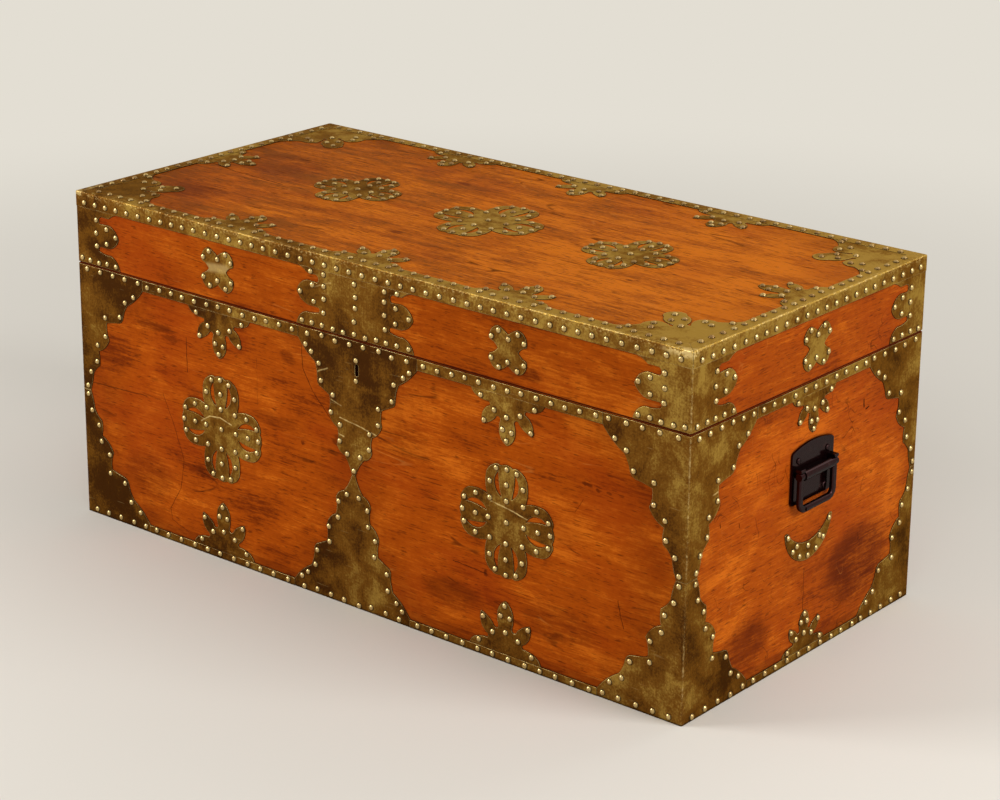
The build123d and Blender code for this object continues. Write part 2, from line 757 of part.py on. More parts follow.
def make_box_strips():
    rim_low = box_height - rim_strip_drop
    rim_high = box_height - split_gap
    for node, middle_plate, low, high, level, pitch in (
            ("rim_strips", 0.0, rim_low, rim_high, rim_low + 8, rim_pitch),
            ("base_strips", centre_plate_offset, 0.0, base_strip_height, 6.5, base_pitch)):
        for side in SIDES:
            plane = side_plane(side)
            for start, end in strip_runs(side, middle_plate):
                spacing = back_pitch if side == "back" else pitch
                places = nail_row(start, end, level, spacing)
                if side == "back" and node == "rim_strips":
                    places = clear_of_hinges(places)
                strip = rectangle(start, low, end, high)
                keep(node, nailed_sheet("studs_" + side, plane, strip, places, strip_sheet))


def make_lid_strips():
    """An angle of sheet round the top edges, mitred at the corners."""
    length = wood_length + 2 * strip_sheet
    depth = wood_depth + 2 * strip_sheet
    low = chest_height - lid_strip_drop
    side_leg = Pos(0, 0, (low + chest_height) / 2) * (
        Box(length, depth, lid_strip_drop) - Box(wood_length, wood_depth, lid_strip_drop))
    inner_length = length - 2 * lid_strip_inset
    inner_depth = depth - 2 * lid_strip_inset
    top_leg = Pos(0, 0, (lid_top + chest_height) / 2) * (
        Box(length, depth, strip_sheet) - Box(inner_length, inner_depth, strip_sheet))
    ring = side_leg + top_leg
    rim_edges = [
        edge for edge in ring.edges()
        if (abs(abs(edge.center().X) - length / 2) < 0.01 or abs(abs(edge.center().Y) - depth / 2) < 0.01)
        and edge.center().Z > low + 1]
    ring = fillet(rim_edges, corner_round)
    for x_hand in (-1, 1):
        for y_hand in (-1, 1):
            ring -= Pos(x_hand * length / 2, y_hand * depth / 2, (low + chest_height) / 2) * Rot(
                0, 0, 45 * x_hand * y_hand) * Box(4 * lid_strip_inset, mitre_gap, 2 * lid_strip_drop)
    side_holes = {}
    for side in SIDES:
        spacing = back_pitch if side == "back" else lid_pitch
        edge = HALF_SPAN[side] - 5
        side_holes[side] = nail_row(-edge, edge, chest_height - 14, spacing)
        drive("lid_studs_sides", side_plane(side), side_holes[side], strip_sheet)
    top_holes = []
    for hand in (-1, 1):
        long_edge = hand * (half_depth - 13)
        short_edge = hand * (half_length - 13)
        top_holes += nail_row(-half_length + 20, half_length - 20, long_edge, lid_pitch)
        top_holes += [(x, y) for y, x in nail_row(-half_depth + 24, half_depth - 24, short_edge, lid_pitch)]
    drive("lid_studs_top", top_plane, top_holes, strip_sheet)
    hole = Cylinder(hole_radius, 4 * strip_sheet)
    cutters = [hole.moved(top_plane.location * Location((x, y, 0))) for x, y in top_holes]
    for side, places in side_holes.items():
        plane = side_plane(side)
        cutters += [hole.moved(plane.location * Location((x, y, 0))) for x, y in places]
    ring = ring.cut(*[cutter.solids()[0] for cutter in cutters])
    keep("lid_edge_strips", *ring.solids())


# ---- Ornaments of the lid ----
def make_lid_front_plate():
    low = box_height + split_gap
    shift = CENTRE_SCALLOPS[0][0] - LID_SCALLOPS[0][0]
    half = stretches_of(fitted(LID_SCALLOPS, up=lid_stretch, shift=shift - 2))
    outline = moved(mirrored_pair(half), lambda across, up: (across - 4, up + low))
    nails = both_hands(LID_CENTRE_NAILS) + LID_CENTRE_MIDDLE_NAILS
    places = [(a - 4, u + low) for a, u in hand_set(fitted(nails, up=lid_stretch))]
    keep("lid_centre_plate", nailed_sheet(
        "lid_studs_sides", side_plane("front"), outline, places, sheet))


def make_lid_quatrefoils():
    height = (box_height + chest_height - lid_strip_drop) / 2 + 2
    scale = quatrefoil_scale * lid_stretch
    for side, across in (
            ("front", -quarter_place()), ("front", quarter_place()),
            ("right", ornament_set_back), ("left", -ornament_set_back)):
        keep("lid_quatrefoils", quatrefoil(side_plane(side), "lid_studs_sides", (across, height), scale))


def make_top_plates():
    node = "lid_studs_top"
    inner_x = half_length + strip_sheet - lid_strip_inset
    inner_y = half_depth + strip_sheet - lid_strip_inset
    corner_foot = TOP_CORNER_SCALLOPS[0][0]
    quarter = (inner_x - corner_foot + middle_top_rosette_reach) / 2
    for x, reach in (
            (-quarter, side_top_rosette_reach),
            (0.0, middle_top_rosette_reach),
            (quarter, side_top_rosette_reach)):
        keep("lid_top_rosettes", rosette(top_plane, node, (x, ornament_set_back), reach))
        keep("lid_top_leaf_plates", leaf_plate(
            top_plane, node, (x, -inner_y), 0, leaf_half_width, top_leaf_height))
        keep("lid_top_leaf_plates", leaf_plate(
            top_plane, node, (x, inner_y), 2, leaf_half_width, top_leaf_height))
    for hand, direction in ((-1, 3), (1, 1)):
        keep("lid_top_leaf_plates", leaf_plate(
            top_plane, node, (hand * inner_x, ornament_set_back), direction,
            end_leaf_half_width, top_end_leaf_height))
    half = stretches_of(TOP_CORNER_SCALLOPS)
    whole = half + reversed_run(moved(half, lambda a, u: (u, a)))
    whole += [((0, corner_foot), None, (0, 0)), ((0, 0), None, (corner_foot, 0))]
    spots = TOP_CORNER_NAILS + [(u, a) for a, u in TOP_CORNER_NAILS] + TOP_CORNER_MIDDLE_NAILS
    for x_hand in (-1, 1):
        for y_hand in (-1, 1):
            def place(across, up):
                return (x_hand * (inner_x - across), y_hand * (inner_y - up))

            places = [place(*spot) for spot in hand_set(spots)]
            keep("lid_top_corner_plates", nailed_sheet(node, top_plane, moved(whole, place), places, sheet))


# ---- Hinges ----
def knuckle_places():
    """Middle of each knuckle along the hinge, and whether it belongs to the lid."""
    pitch = hinge_width / hinge_knuckles
    return [(pitch * (index + 0.5) - hinge_width / 2, index % 2 == 1) for index in range(hinge_knuckles)]


def stop_toe(length):
    """A toe behind the lid's knuckle, which meets the back of the chest when the lid stands open."""
    tip = barrel_radius + toe_reach
    corner_reach = hypot(tip, toe_thickness / 2)
    lean = degrees(acos(tip / corner_reach))
    to_face = hinge_axis_y - half_depth - strip_sheet - toe_clearance
    touching = 180 + degrees(acos(to_face / corner_reach))
    start = touching + lean + lid_opening
    toe = Pos(0, (tip + pin_radius + 1) / 2, 0) * Box(length, tip - pin_radius - 1, toe_thickness)
    return Rot(start, 0, 0) * toe


def make_hinges():
    pitch = hinge_width / hinge_knuckles
    length = pitch - knuckle_gap
    depth = wall - hinge_leaf_margin
    bore = Rot(0, 90, 0) * Cylinder(pin_radius + pin_clearance, hinge_width + 2)
    body_end = half_depth + strip_sheet
    leaf_start = half_depth - depth
    to_leaf = hinge_axis_y - barrel_radius / 2
    screw_y = half_depth - depth / 2
    screw = make_screw(small_head_radius, small_head_depth, small_screw_radius, small_screw_length)
    for for_lid, node, screw_node, towards in (
            (False, "hinge_leaves_box", "hinge_screws_box", -1),
            (True, "hinge_leaves_lid", "hinge_screws_lid", 1)):
        middle_z = towards * hinge_leaf / 2
        leaf = Pos(0, (leaf_start + body_end) / 2, middle_z) * Box(
            hinge_width, body_end - leaf_start, hinge_leaf)
        for place, lid_knuckle in knuckle_places():
            if lid_knuckle != for_lid:
                continue
            tongue = Pos(place, (body_end + to_leaf) / 2, middle_z) * Box(
                length, to_leaf - body_end, hinge_leaf)
            barrel = Pos(place, hinge_axis_y, 0) * Rot(0, 90, 0) * Cylinder(barrel_radius, length)
            leaf += tongue + barrel
            if for_lid:
                leaf += Pos(place, hinge_axis_y, 0) * stop_toe(length)
        leaf -= Pos(0, hinge_axis_y, 0) * bore
        spots = [(share * hinge_width, screw_y) for share in (-0.36, 0.0, 0.36)]
        face_turn = Rot(0, 0, 0) if towards < 0 else Rot(180, 0, 0)
        for x in hinge_offsets:
            screws = [Pos(x + sx, sy, box_height) * face_turn * screw for sx, sy in spots]
            keep(node, (Pos(x, 0, box_height) * leaf) - screws)
            keep(screw_node, *screws)
    pin = Rot(0, 90, 0) * Cylinder(pin_radius, hinge_width)
    for x in hinge_offsets:
        keep("hinge_pins", Pos(x, hinge_axis_y, box_height) * pin)


# ---- Box lock ----
def make_lock():
    """A flat case on the inside of the front board, a sliding bolt and a staple on the lid."""
    back_y = -inner_face
    front_y = back_y + lock_depth
    top = box_height - lock_below_rim
    low = top - lock_height
    middle_y = (back_y + front_y) / 2
    middle_z = (top + low) / 2
    bolt_z = box_height - bolt_drop
    staple_depth = 2 * staple_bar + bolt_thickness + 2 * bolt_fit + 1.0
    mouth_width = staple_width + 2 * staple_slack + 2
    mouth = Box(mouth_width, staple_depth + 2 * staple_slack, 6 * lock_sheet)
    case = Pos(0, middle_y, middle_z) * (
        Box(lock_length, lock_depth, lock_height)
        - Box(lock_length - 2 * lock_sheet, lock_depth - 2 * lock_sheet, lock_height - 2 * lock_sheet))
    case -= Pos(0, middle_y, top) * mouth
    case -= Pos(0, back_y, box_height - keyhole_drop) * Box(
        keyhole_width, 6 * lock_sheet, keyhole_length)
    withdrawn_tip = staple_width / 2 + bolt_past_staple - bolt_travel
    bolt_x = withdrawn_tip - bolt_length / 2
    guide = Box(bolt_guide_length, lock_depth - 2 * lock_sheet, bolt_height + 6.0) - Box(
        bolt_guide_length + 1, bolt_thickness + 2 * bolt_fit, bolt_height + 2 * bolt_fit)
    case += Pos(-bolt_guide_length / 2 - mouth_width / 2 - 2.0, middle_y, bolt_z) * guide
    flange = Pos(0, back_y + lock_sheet / 2, middle_z) * Box(
        lock_length + 2 * lock_flange, lock_sheet, lock_height * 0.7)
    flange -= Pos(0, back_y, middle_z) * Box(lock_length - 2, 4 * lock_sheet, lock_height)
    screw = make_screw(small_head_radius, small_head_depth, small_screw_radius, small_screw_length)
    into_wood = Rot(-90, 0, 0) * screw
    flange_x = (lock_length + lock_flange) / 2
    case_screws = [
        Pos(x, back_y + lock_sheet, middle_z + z) * into_wood
        for x in (-flange_x, flange_x) for z in (-lock_height * 0.22, lock_height * 0.22)]
    keep("lock_case", case + flange - case_screws)
    keep("lock_screws_box", *case_screws)
    keep("lock_bolt", Pos(bolt_x, middle_y, bolt_z) * Box(bolt_length, bolt_thickness, bolt_height))

    plate_low = box_height + 2.0
    plate = Pos(0, back_y + strike_sheet / 2, plate_low + strike_height / 2) * Box(
        strike_width, strike_sheet, strike_height)
    foot = Pos(0, back_y + lock_depth / 2, plate_low + strike_sheet / 2) * Box(
        strike_width / 2, lock_depth, strike_sheet)
    staple_low = bolt_z - bolt_height / 2 - 1.0 - staple_bar
    staple = Pos(0, middle_y, (plate_low + staple_low) / 2) * Box(
        staple_width, staple_depth, plate_low - staple_low)
    eye = Pos(0, middle_y, bolt_z) * Box(
        staple_width * 2, staple_depth - 2 * staple_bar, bolt_height + 2.0)
    staple -= eye
    strike_screws = [
        Pos(x, back_y + strike_sheet, plate_low + strike_height * 0.62) * into_wood
        for x in (-strike_width * 0.38, strike_width * 0.38)]
    keep("lock_strike", plate + foot + staple - strike_screws)
    keep("lock_screws_lid", *strike_screws)


# ---- End handles ----
def handle_plate():
    """The right handle's plate, in its own frame: x out of the wood, y along it, z from the pivot."""
    top = pivot_drop
    low = top - handle_plate_height
    half = handle_width / 2
    outline = closed_wire([
        ((-half, low), None, (half, low)),
        ((half, low), None, (half, top - handle_arch)),
        ((half, top - handle_arch), (0, top), (-half, top - handle_arch)),
        ((-half, top - handle_arch), None, (-half, low))])
    flat = Face(outline).moved(Plane.YZ.location)
    plate = Part() + Solid.extrude(flat, Vector(handle_sheet, 0, 0))
    plate = fillet(plate.edges().filter_by(Axis.X), handle_corner)
    inner = bail_span / 2 - bail_arm_width / 2 - bail_side_gap
    barrel = Pos(pivot_stand_off, 0, 0) * Rot(90, 0, 0) * Cylinder(handle_barrel_radius, 2 * inner)
    web = Pos(pivot_stand_off / 2, 0, 0) * Box(pivot_stand_off, 2 * inner, 1.5 * handle_barrel_radius)
    plate += barrel + web
    bore = Cylinder(bail_pin_radius + bail_clearance, bail_pin_length + 1)
    for hand in (-1, 1):
        bore_y = hand * (inner - (bail_pin_length + 1) / 2 + 1)
        plate -= Pos(pivot_stand_off, bore_y, 0) * Rot(90, 0, 0) * bore
        lug_low = bail_eye_radius + lug_gap
        lug = Pos(lug_reach / 2, hand * bail_span / 2, lug_low + lug_height / 2) * Box(
            lug_reach, bail_arm_width, lug_height)
        plate += fillet(lug.edges().filter_by(Axis.Y).group_by(Axis.X)[-1], lug_height / 3)
    return plate


def handle_screw_spots():
    half = handle_width / 2
    return [(hand * (half - 14), pivot_drop - 20) for hand in (-1, 1)] + [
        (hand * (half - 19), pivot_drop - handle_plate_height + 9) for hand in (-1, 1)]


def handle_screw():
    dome = Pos(0, 0, round_head_height / 2) * Cylinder(round_head_radius, round_head_height)
    dome = fillet(dome.edges().group_by(Axis.Z)[-1], round_head_height * 0.8)
    shank_part = Pos(0, 0, -handle_screw_length / 2) * Cylinder(
        small_screw_radius * 1.4, handle_screw_length)
    slot = Pos(0, 0, round_head_height) * Box(3 * round_head_radius, 1.0, 1.2)
    return solid_of(dome + shank_part - slot)


def bail():
    """The hanging loop, in the same frame as its plate: two arms, a grip and two pins."""
    half = bail_span / 2
    path = FilletPolyline(
        (0, -half, 0), (0, -half, -bail_drop), (0, half, -bail_drop), (0, half, 0), radius=bail_bend)
    section = Plane((0, -half, 0)) * RectangleRounded(bail_arm_thickness, bail_arm_width, 2.2)
    loop = sweep(section, path=path)
    swell = Pos(0, 0, -bail_drop) * Rot(90, 0, 0) * Cylinder(bail_grip_radius, bail_span - 2 * bail_bend)
    loop += swell
    for hand in (-1, 1):
        eye = Pos(0, hand * half, 0) * Rot(90, 0, 0) * Cylinder(bail_eye_radius, bail_arm_width)
        inner = half - bail_arm_width / 2
        pin = Pos(0, hand * (inner - bail_pin_length / 2 + 0.5), 0) * Rot(90, 0, 0) * Cylinder(
            bail_pin_radius, bail_pin_length + 1)
        loop += eye + pin
    return Pos(pivot_stand_off, 0, 0) * loop


def make_handles():
    screw_places = handle_screw_spots()
    screw = Rot(0, 90, 0) * handle_screw()
    screws = [Pos(handle_sheet, y, z) * screw for y, z in screw_places]
    plate = handle_plate() - screws
    loop = bail()
    for side, hand in (("right", 1), ("left", -1)):
        turn = 0 if hand > 0 else 180
        spot = Location((hand * half_length, ornament_set_back, pivot_height), (0, 0, turn))
        keep(f"handle_plate_{side}", plate.solids()[0].moved(spot))
        keep(f"handle_bail_{side}", loop.solids()[0].moved(spot))
        keep("handle_screws", *[item.solids()[0].moved(spot) for item in screws])


make_box_boards()
make_bottom()
make_lid_boards()
make_corner_plates()
make_lid_corner_plates()
make_front_plates()
make_box_ornaments()
make_box_strips()
make_lid_strips()
make_lid_front_plate()
make_lid_quatrefoils()
make_top_plates()
make_hinges()
make_lock()
make_handles()

for stud_node, stud_solids in studs.items():
    keep(stud_node, *stud_solids)

for node_name, shapes in parts.items():
    solids = [solid for shape in shapes for solid in shape.solids()]
    export_step(Compound(solids) if len(solids) > 1 else solids[0], f"parts/{node_name}.step")
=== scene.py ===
"""Looks of a brass-bound storage chest, laid out as an add-on.

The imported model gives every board, plate, hinge and handle its place. This file finishes them:
polished hardwood, patinated sheet brass, cast brass nails, japanned iron, and a plain studio.
"""

import math
import random

import bpy
import numpy as np
from bpy.props import FloatProperty, FloatVectorProperty, IntProperty, PointerProperty
from mathutils import Matrix, Vector


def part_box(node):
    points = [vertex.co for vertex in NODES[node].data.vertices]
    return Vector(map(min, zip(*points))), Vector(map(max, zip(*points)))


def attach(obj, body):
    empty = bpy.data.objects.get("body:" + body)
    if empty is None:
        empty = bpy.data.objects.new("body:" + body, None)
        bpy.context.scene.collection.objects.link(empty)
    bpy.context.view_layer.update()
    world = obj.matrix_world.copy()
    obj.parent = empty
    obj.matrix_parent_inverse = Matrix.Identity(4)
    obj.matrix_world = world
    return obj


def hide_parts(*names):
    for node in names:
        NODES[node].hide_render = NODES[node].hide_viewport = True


bl_info = {
    "name": "Brass-Bound Chest",
    "version": (1, 0, 0),
    "blender": (4, 5, 0),
    "location": "3D View > Sidebar > Chest",
    "description": "Finishes a brass-bound storage chest and sets up its studio",
    "category": "Object",
}

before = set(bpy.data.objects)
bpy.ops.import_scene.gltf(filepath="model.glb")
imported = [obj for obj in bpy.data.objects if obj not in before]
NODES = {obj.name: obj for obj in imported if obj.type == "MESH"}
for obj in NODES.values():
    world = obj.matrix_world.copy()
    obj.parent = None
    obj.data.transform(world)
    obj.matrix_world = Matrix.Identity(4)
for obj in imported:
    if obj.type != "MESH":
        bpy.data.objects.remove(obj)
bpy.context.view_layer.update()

MM = 0.001
PER_M = 1000.0  # noise of scale PER_M / 60 has patches about 60 mm across
SMOOTH = {"interpolation_type": "SMOOTHSTEP"}  # how every value is eased between two limits
NAIL_NODES = {
    "studs_front": "chest", "studs_back": "chest", "studs_left": "chest", "studs_right": "chest",
    "lid_studs_sides": "lid", "lid_studs_top": "lid"}
WOOD_LOW, WOOD_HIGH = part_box("front_board")
OUTER_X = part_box("base_strips")[1][0]
OUTER_Y = -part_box("base_strips")[0][1]
TOP_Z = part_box("lid_edge_strips")[1][2]
RIM_Z = WOOD_HIGH[2]
WALL = WOOD_HIGH[1] - WOOD_LOW[1]

HEAD_RINGS = 7
HEAD_SIDES = 22
HEAD_SUNK = 0.25 * MM  # how far a nail head sinks in, so that no gap shows under it
HEAD_TONES = (0.6, 1.0)  # from the dullest nail head to the brightest
TOP_HEAD_TONES = (0.2, 0.7)  # the same on top of the lid, which are darker

FLOOR_REACH = 14.0
# Name, place and size in metres, and the setting that holds the strength.
LAMPS = (
    ("left", (-1.94, -2.15, 1.75), (1.3, 1.8), "key"),
    ("right", (2.7, 0.45, 1.75), (1.3, 1.8), "side"),
    ("fill", (1.9, -2.4, 2.3), (1.6, 1.6), "fill"),
    ("back", (0.6, 2.6, 2.3), (2.0, 2.0), "fill"))
LAMP_AIM = Vector((0, 0, 0.25))
CAMERA_PLACE = (2.2445, -2.6916, 1.4934)
CAMERA_ANGLES = (39.496, 18.163, 0.529)  # degrees round from the front, up, and of roll
CAMERA_SHIFT = -0.08


# ---- Colours and nodes ----
def linear(code):
    """An sRGB hex colour as linear red, green, blue and 1."""
    channels = [int(code[place:place + 2], 16) / 255 for place in (1, 3, 5)]
    return tuple(c / 12.92 if c <= 0.04045 else ((c + 0.055) / 1.055) ** 2.4 for c in channels) + (1.0,)


def add(tree, kind, links=(), **settings):
    """Adds a node. Links gives values, outputs or whole nodes to its inputs, in order or by name.

    A whole node stands for its first output that is in use.
    """
    node = tree.nodes.new("ShaderNode" + kind)
    for name, value in settings.items():
        setattr(node, name, value)
    for place, value in links.items() if isinstance(links, dict) else enumerate(links):
        if isinstance(value, bpy.types.Node):
            value = next(output for output in value.outputs if output.enabled)
        if isinstance(value, bpy.types.NodeSocket):
            tree.links.new(value, node.inputs[place])
        else:
            node.inputs[place].default_value = value
    return node


def new_material(name):
    """A material, its empty tree, and the place on the object in metres, in the model's own frame."""
    material = bpy.data.materials.new(name)
    material.use_nodes = True
    tree = material.node_tree
    tree.nodes.clear()
    return material, tree, add(tree, "TexCoord").outputs["Object"]


# ---- Settings ----
COLOUR = {"subtype": "COLOR", "size": 4, "min": 0, "max": 1}


class ChestWood(bpy.types.PropertyGroup):
    light: FloatVectorProperty(
        name="Light Grain", description="Colour of the pale streaks of the polished hardwood",
        default=linear("#CC6816"), **COLOUR)
    middle: FloatVectorProperty(
        name="Main Colour", description="Overall colour of the polished hardwood",
        default=linear("#A4480A"), **COLOUR)
    dark: FloatVectorProperty(
        name="Dark Grain", description="Colour of the dark streaks of the polished hardwood",
        default=linear("#702A07"), **COLOUR)
    # Also the colour of the painted shade along the brass and in the keyhole.
    grime_and_shade: FloatVectorProperty(
        name="Old Polish", description="Colour of the old polish that has gathered by the brass",
        default=linear("#2C0E05"), **COLOUR)
    streak: FloatProperty(
        name="Streak", description="Width of a streak of the grain in millimetres",
        default=11.0, min=3.0, max=60.0)
    fibre: FloatProperty(
        name="Fibre", description="Width at which the fibres of the grain are drawn, in millimetres",
        default=2.1, min=0.5, max=10.0)
    gloss: FloatProperty(
        name="Roughness", description="Roughness of the polish", subtype="FACTOR",
        default=0.38, min=0.05, max=1.0)


class ChestBrass(bpy.types.PropertyGroup):
    patina: FloatVectorProperty(
        name="Patina", description="Dark brown tone of the old sheet brass",
        default=linear("#43240A"), **COLOUR)
    metal: FloatVectorProperty(
        name="Sheet Brass", description="Main tone of the old sheet brass",
        default=linear("#734A16"), **COLOUR)
    bright: FloatVectorProperty(
        name="Rubbed Brass", description="Tone of the brass where it is rubbed",
        default=linear("#A8863C"), **COLOUR)
    # Also the colour of the painted highlights along the plates' outlines and their knocked ridges.
    worn: FloatVectorProperty(
        name="Worn Edge", description="Tone of the folded edges, worn almost white",
        default=linear("#DCC080"), **COLOUR)
    nail: FloatVectorProperty(
        name="Nail Head", description="Tone of the domed nail heads",
        default=linear("#CCB076"), **COLOUR)
    rim: FloatProperty(
        name="Cut Edge", description="Width of the softened edge of the sheets", subtype="DISTANCE",
        default=0.3 * MM, min=0.05 * MM, max=0.39 * MM)
    glint: FloatProperty(
        name="Edge Glint", description="How far the rubbed rim of a plate reaches in from its outline",
        subtype="DISTANCE", default=1.5 * MM, min=0.2 * MM, max=4 * MM)
    head_radius: FloatProperty(
        name="Head Radius", description="Radius of a nail head", subtype="DISTANCE",
        default=4.5 * MM, min=2 * MM, max=8 * MM)
    head_height: FloatProperty(
        name="Head Height", description="Height of a nail head", subtype="DISTANCE",
        default=3.2 * MM, min=1 * MM, max=6 * MM)
    tilt: FloatProperty(
        name="Tilt", description="How far a nail head may lean", subtype="ANGLE",
        default=math.radians(5), min=0, max=math.radians(15))
    seed: IntProperty(
        name="Seed", description="Which set of uneven nail heads is made", default=7, min=0)


class ChestIron(bpy.types.PropertyGroup):
    black: FloatVectorProperty(
        name="Japanned Iron", description="Tone of the black iron handles",
        default=linear("#2A1012"), **COLOUR)
    rubbed: FloatVectorProperty(
        name="Rubbed Iron", description="Tone of the iron where hands have rubbed it",
        default=linear("#6A5C58"), **COLOUR)
    rim: FloatProperty(
        name="Soft Edge", description="Width of the softened edges of the handles", subtype="DISTANCE",
        default=0.6 * MM, min=0.1 * MM, max=1.5 * MM)


class ChestStudio(bpy.types.PropertyGroup):
    floor: FloatVectorProperty(
        name="Floor", description="Colour of the studio floor",
        default=linear("#DEDAD2"), **COLOUR)
    surround: FloatVectorProperty(
        name="Surround", description="Colour of the studio behind the chest",
        default=linear("#E3DED3"), **COLOUR)
    key: FloatProperty(
        name="Left Light", description="Strength of the light at the front left in watts",
        default=62.0, min=0)
    side: FloatProperty(
        name="Right Light", description="Strength of the light at the right in watts",
        default=52.0, min=0)
    fill: FloatProperty(
        name="Fill Light", description="Strength of each of the two fill lights in watts",
        default=16.0, min=0)
    sky: FloatProperty(
        name="Even Light", description="Strength of the even surrounding light", default=0.42, min=0)
    lens: FloatProperty(
        name="Lens", description="Focal length of the camera in millimetres",
        default=96.56, min=20, max=300)


# ---- Marks of age ----
# Points are in millimetres: (x, z) on the front, (y, z) on the right end and (x, y) on top.
FACES = {
    "front": lambda across, up: Vector((across * MM, WOOD_LOW[1], up * MM)),
    "end": lambda across, up: Vector((WOOD_HIGH[0], across * MM, up * MM)),
    "top": lambda across, up: Vector((across * MM, up * MM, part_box("lid_top_board")[1][2]))}
# Cracks and scratches: face, half width, depth of tone, and the points they run through.
BOX_CRACKS_AND_KEYHOLE_SHADE = (
    # The first is painted shade round the keyhole: the wood there is painted black, as the dark of the
    # hole.
    ("front", 22.0, 1.0, (0, 331), (0, 346)),
    ("front", 0.9, 0.85, (-320, 314), (-319, 263)),
    ("front", 0.6, 0.5, (-184, 314), (-184, 247)),
    ("front", 0.9, 0.8, (-100, 353), (-98, 320), (-80, 290), (-44, 256)),
    ("front", 1.4, 0.6, (-514, 203), (-460, 205), (-403, 208)),
    ("front", 0.8, 0.7, (-370, 219), (-351, 181), (-331, 129), (-339, 85), (-361, 49), (-358, 32),
     (-326, 22)),
    ("front", 1.0, 0.8, (166, 117), (222, 114)),
    ("front", 1.0, 0.7, (433, 138), (437, 120), (443, 103)),
    ("front", 0.7, 0.5, (343, 234), (364, 237), (376, 256)))
END_CRACKS = (
    ("end", 0.9, 0.8, (0, 125), (1, 66)),
    ("end", 1.9, 0.95, (124, 320), (125, 310)),
    ("end", 1.7, 0.95, (130, 306), (137, 307)),
    ("end", 1.2, 0.8, (-193, 247), (-192, 240)),
    ("end", 1.1, 0.8, (-152, 233), (-151, 228)))
TOP_CRACKS = (("top", 1.5, 0.85, (-512, -24), (-439, -38), (-342, -44)),)
STAIN_REACH = 50.0  # how far a stain reaches through the wood, in millimetres
# Stains and bruises: face, middle, half sizes, and depth of tone.
BOX_STAINS = (
    ("front", (-385, 317), (48, 8), 0.75), ("front", (-352, 306), (22, 4), 0.6),
    ("front", (-125, 329), (16, 12), 0.6), ("front", (-405, 88), (60, 45), 0.5),
    ("front", (-150, 232), (60, 12), 0.35), ("front", (-60, 60), (60, 30), 0.35),
    ("front", (382, 278), (7, 3.5), 0.9), ("front", (399, 274), (6, 3), 0.9),
    ("front", (416, 276), (5, 3), 0.8), ("front", (222, 115), (4, 6), 0.95),
    ("front", (-101, 214), (4, 3), 0.7), ("front", (161, 70), (62, 26), 0.5),
    ("front", (343, 78), (75, 30), 0.45), ("front", (70, 262), (60, 40), 0.4),
    ("front", (465, 299), (10, 5), 0.7), ("front", (300, 205), (90, 25), 0.3))
END_STAINS = (
    ("end", (128, 92), (92, 66), 0.95), ("end", (100, 66), (30, 24), 0.8),
    ("end", (-129, 60), (60, 42), 0.7), ("end", (20, 130), (90, 30), 0.35),
    ("end", (-120, 20), (40, 10), 0.7))
LID_STAINS = (
    ("front", (292, 399), (22, 11), 0.95), ("front", (237, 401), (10, 7), 0.7),
    ("front", (200, 396), (30, 5), 0.4))
TOP_STAINS = (
    ("top", (-420, 40), (90, 60), 0.4), ("top", (-430, -150), (80, 50), 0.55),
    ("top", (-250, -90), (90, 40), 0.3), ("top", (-150, 130), (14, 10), 0.6),
    ("top", (-60, -120), (16, 9), 0.6), ("top", (60, -160), (40, 20), 0.4))
# Sharp ridges that a knock has bent into the plates, each painted bright along its top as a highlight: as
# the cracks above.
PLATE_CREASE_HIGHLIGHTS = (
    ("front", 1.6, 0.9, (227, 217), (262, 212), (291, 206)),
    ("front", 1.6, 0.9, (-293, 198), (-277, 208), (-256, 211), (-234, 205)),
    ("front", 9.0, 0.4, (-272, 425), (-238, 428)),
    ("front", 1.8, 0.5, (-70, 322), (-52, 330)),
    ("front", 1.6, 0.45, (-46, 288), (-28, 283)),
    ("front", 1.6, 0.8, (-31, 266), (-4, 263), (34, 256)),
    ("front", 1.5, 0.7, (-37, 244), (-24, 241)),
    ("end", 1.6, 0.7, (-212, 289), (-196, 291)),
    ("front", 1.6, 0.3, (-74, 438), (-45, 449)))
# Corners of the lid that knocks have crumpled and rubbed bright: as the stains above.
LID_KNOCKS = (("end", (-259, 480), (9, 8), 1.0), ("front", (-530, 482), (9, 7), 0.7))
# Middle and half sizes of the bare panels in metres: across and up, and on top across and back.
FRONT_PANEL_MIDDLE = 0.2535
FRONT_PANEL = (0.225, 0.185)
END_PANEL = (0.245, 0.185)
TOP_PANEL = (0.53, 0.262)


# ---- Patterns ----
def cracked(tree, where, cracks):
    """1 along each crack, fading out over its edge."""
    marks = []
    for face, half_width, depth, *points in cracks:
        for start, end in zip(points, points[1:]):
            foot = FACES[face](*start)
            run = FACES[face](*end) - foot
            way = run.normalized()
            from_foot = add(tree, "VectorMath", [where, foot], operation="SUBTRACT")
            along = add(tree, "VectorMath", [from_foot, way], operation="DOT_PRODUCT")
            along = add(tree, "Clamp", [along, 0.0, run.length])
            nearest = add(tree, "VectorMath", {0: way, "Scale": along}, operation="SCALE")
            away = add(tree, "VectorMath", [from_foot, nearest], operation="DISTANCE")
            edge = half_width * MM
            marks.append((add(tree, "MapRange", [away, 0.3 * edge, edge, depth, 0.0], **SMOOTH), 1.0))
    return strongest(tree, *marks)


def stained(tree, where, stains):
    """1 in the middle of each stain, fading out to its rim."""
    marks = []
    for face, middle, size, depth in stains:
        across, up = (PER_M / part for part in size)
        through = PER_M / STAIN_REACH
        sides = {"front": (across, through, up), "end": (through, across, up), "top": (across, up, through)}
        off = add(tree, "VectorMath", [where, FACES[face](*middle)], operation="SUBTRACT")
        off = add(tree, "VectorMath", [off, sides[face]], operation="MULTIPLY")
        away = add(tree, "VectorMath", [off], operation="LENGTH")
        marks.append((add(tree, "MapRange", [away, 0.5, 1.1, depth, 0.0], **SMOOTH), 1.0))
    return strongest(tree, *marks)


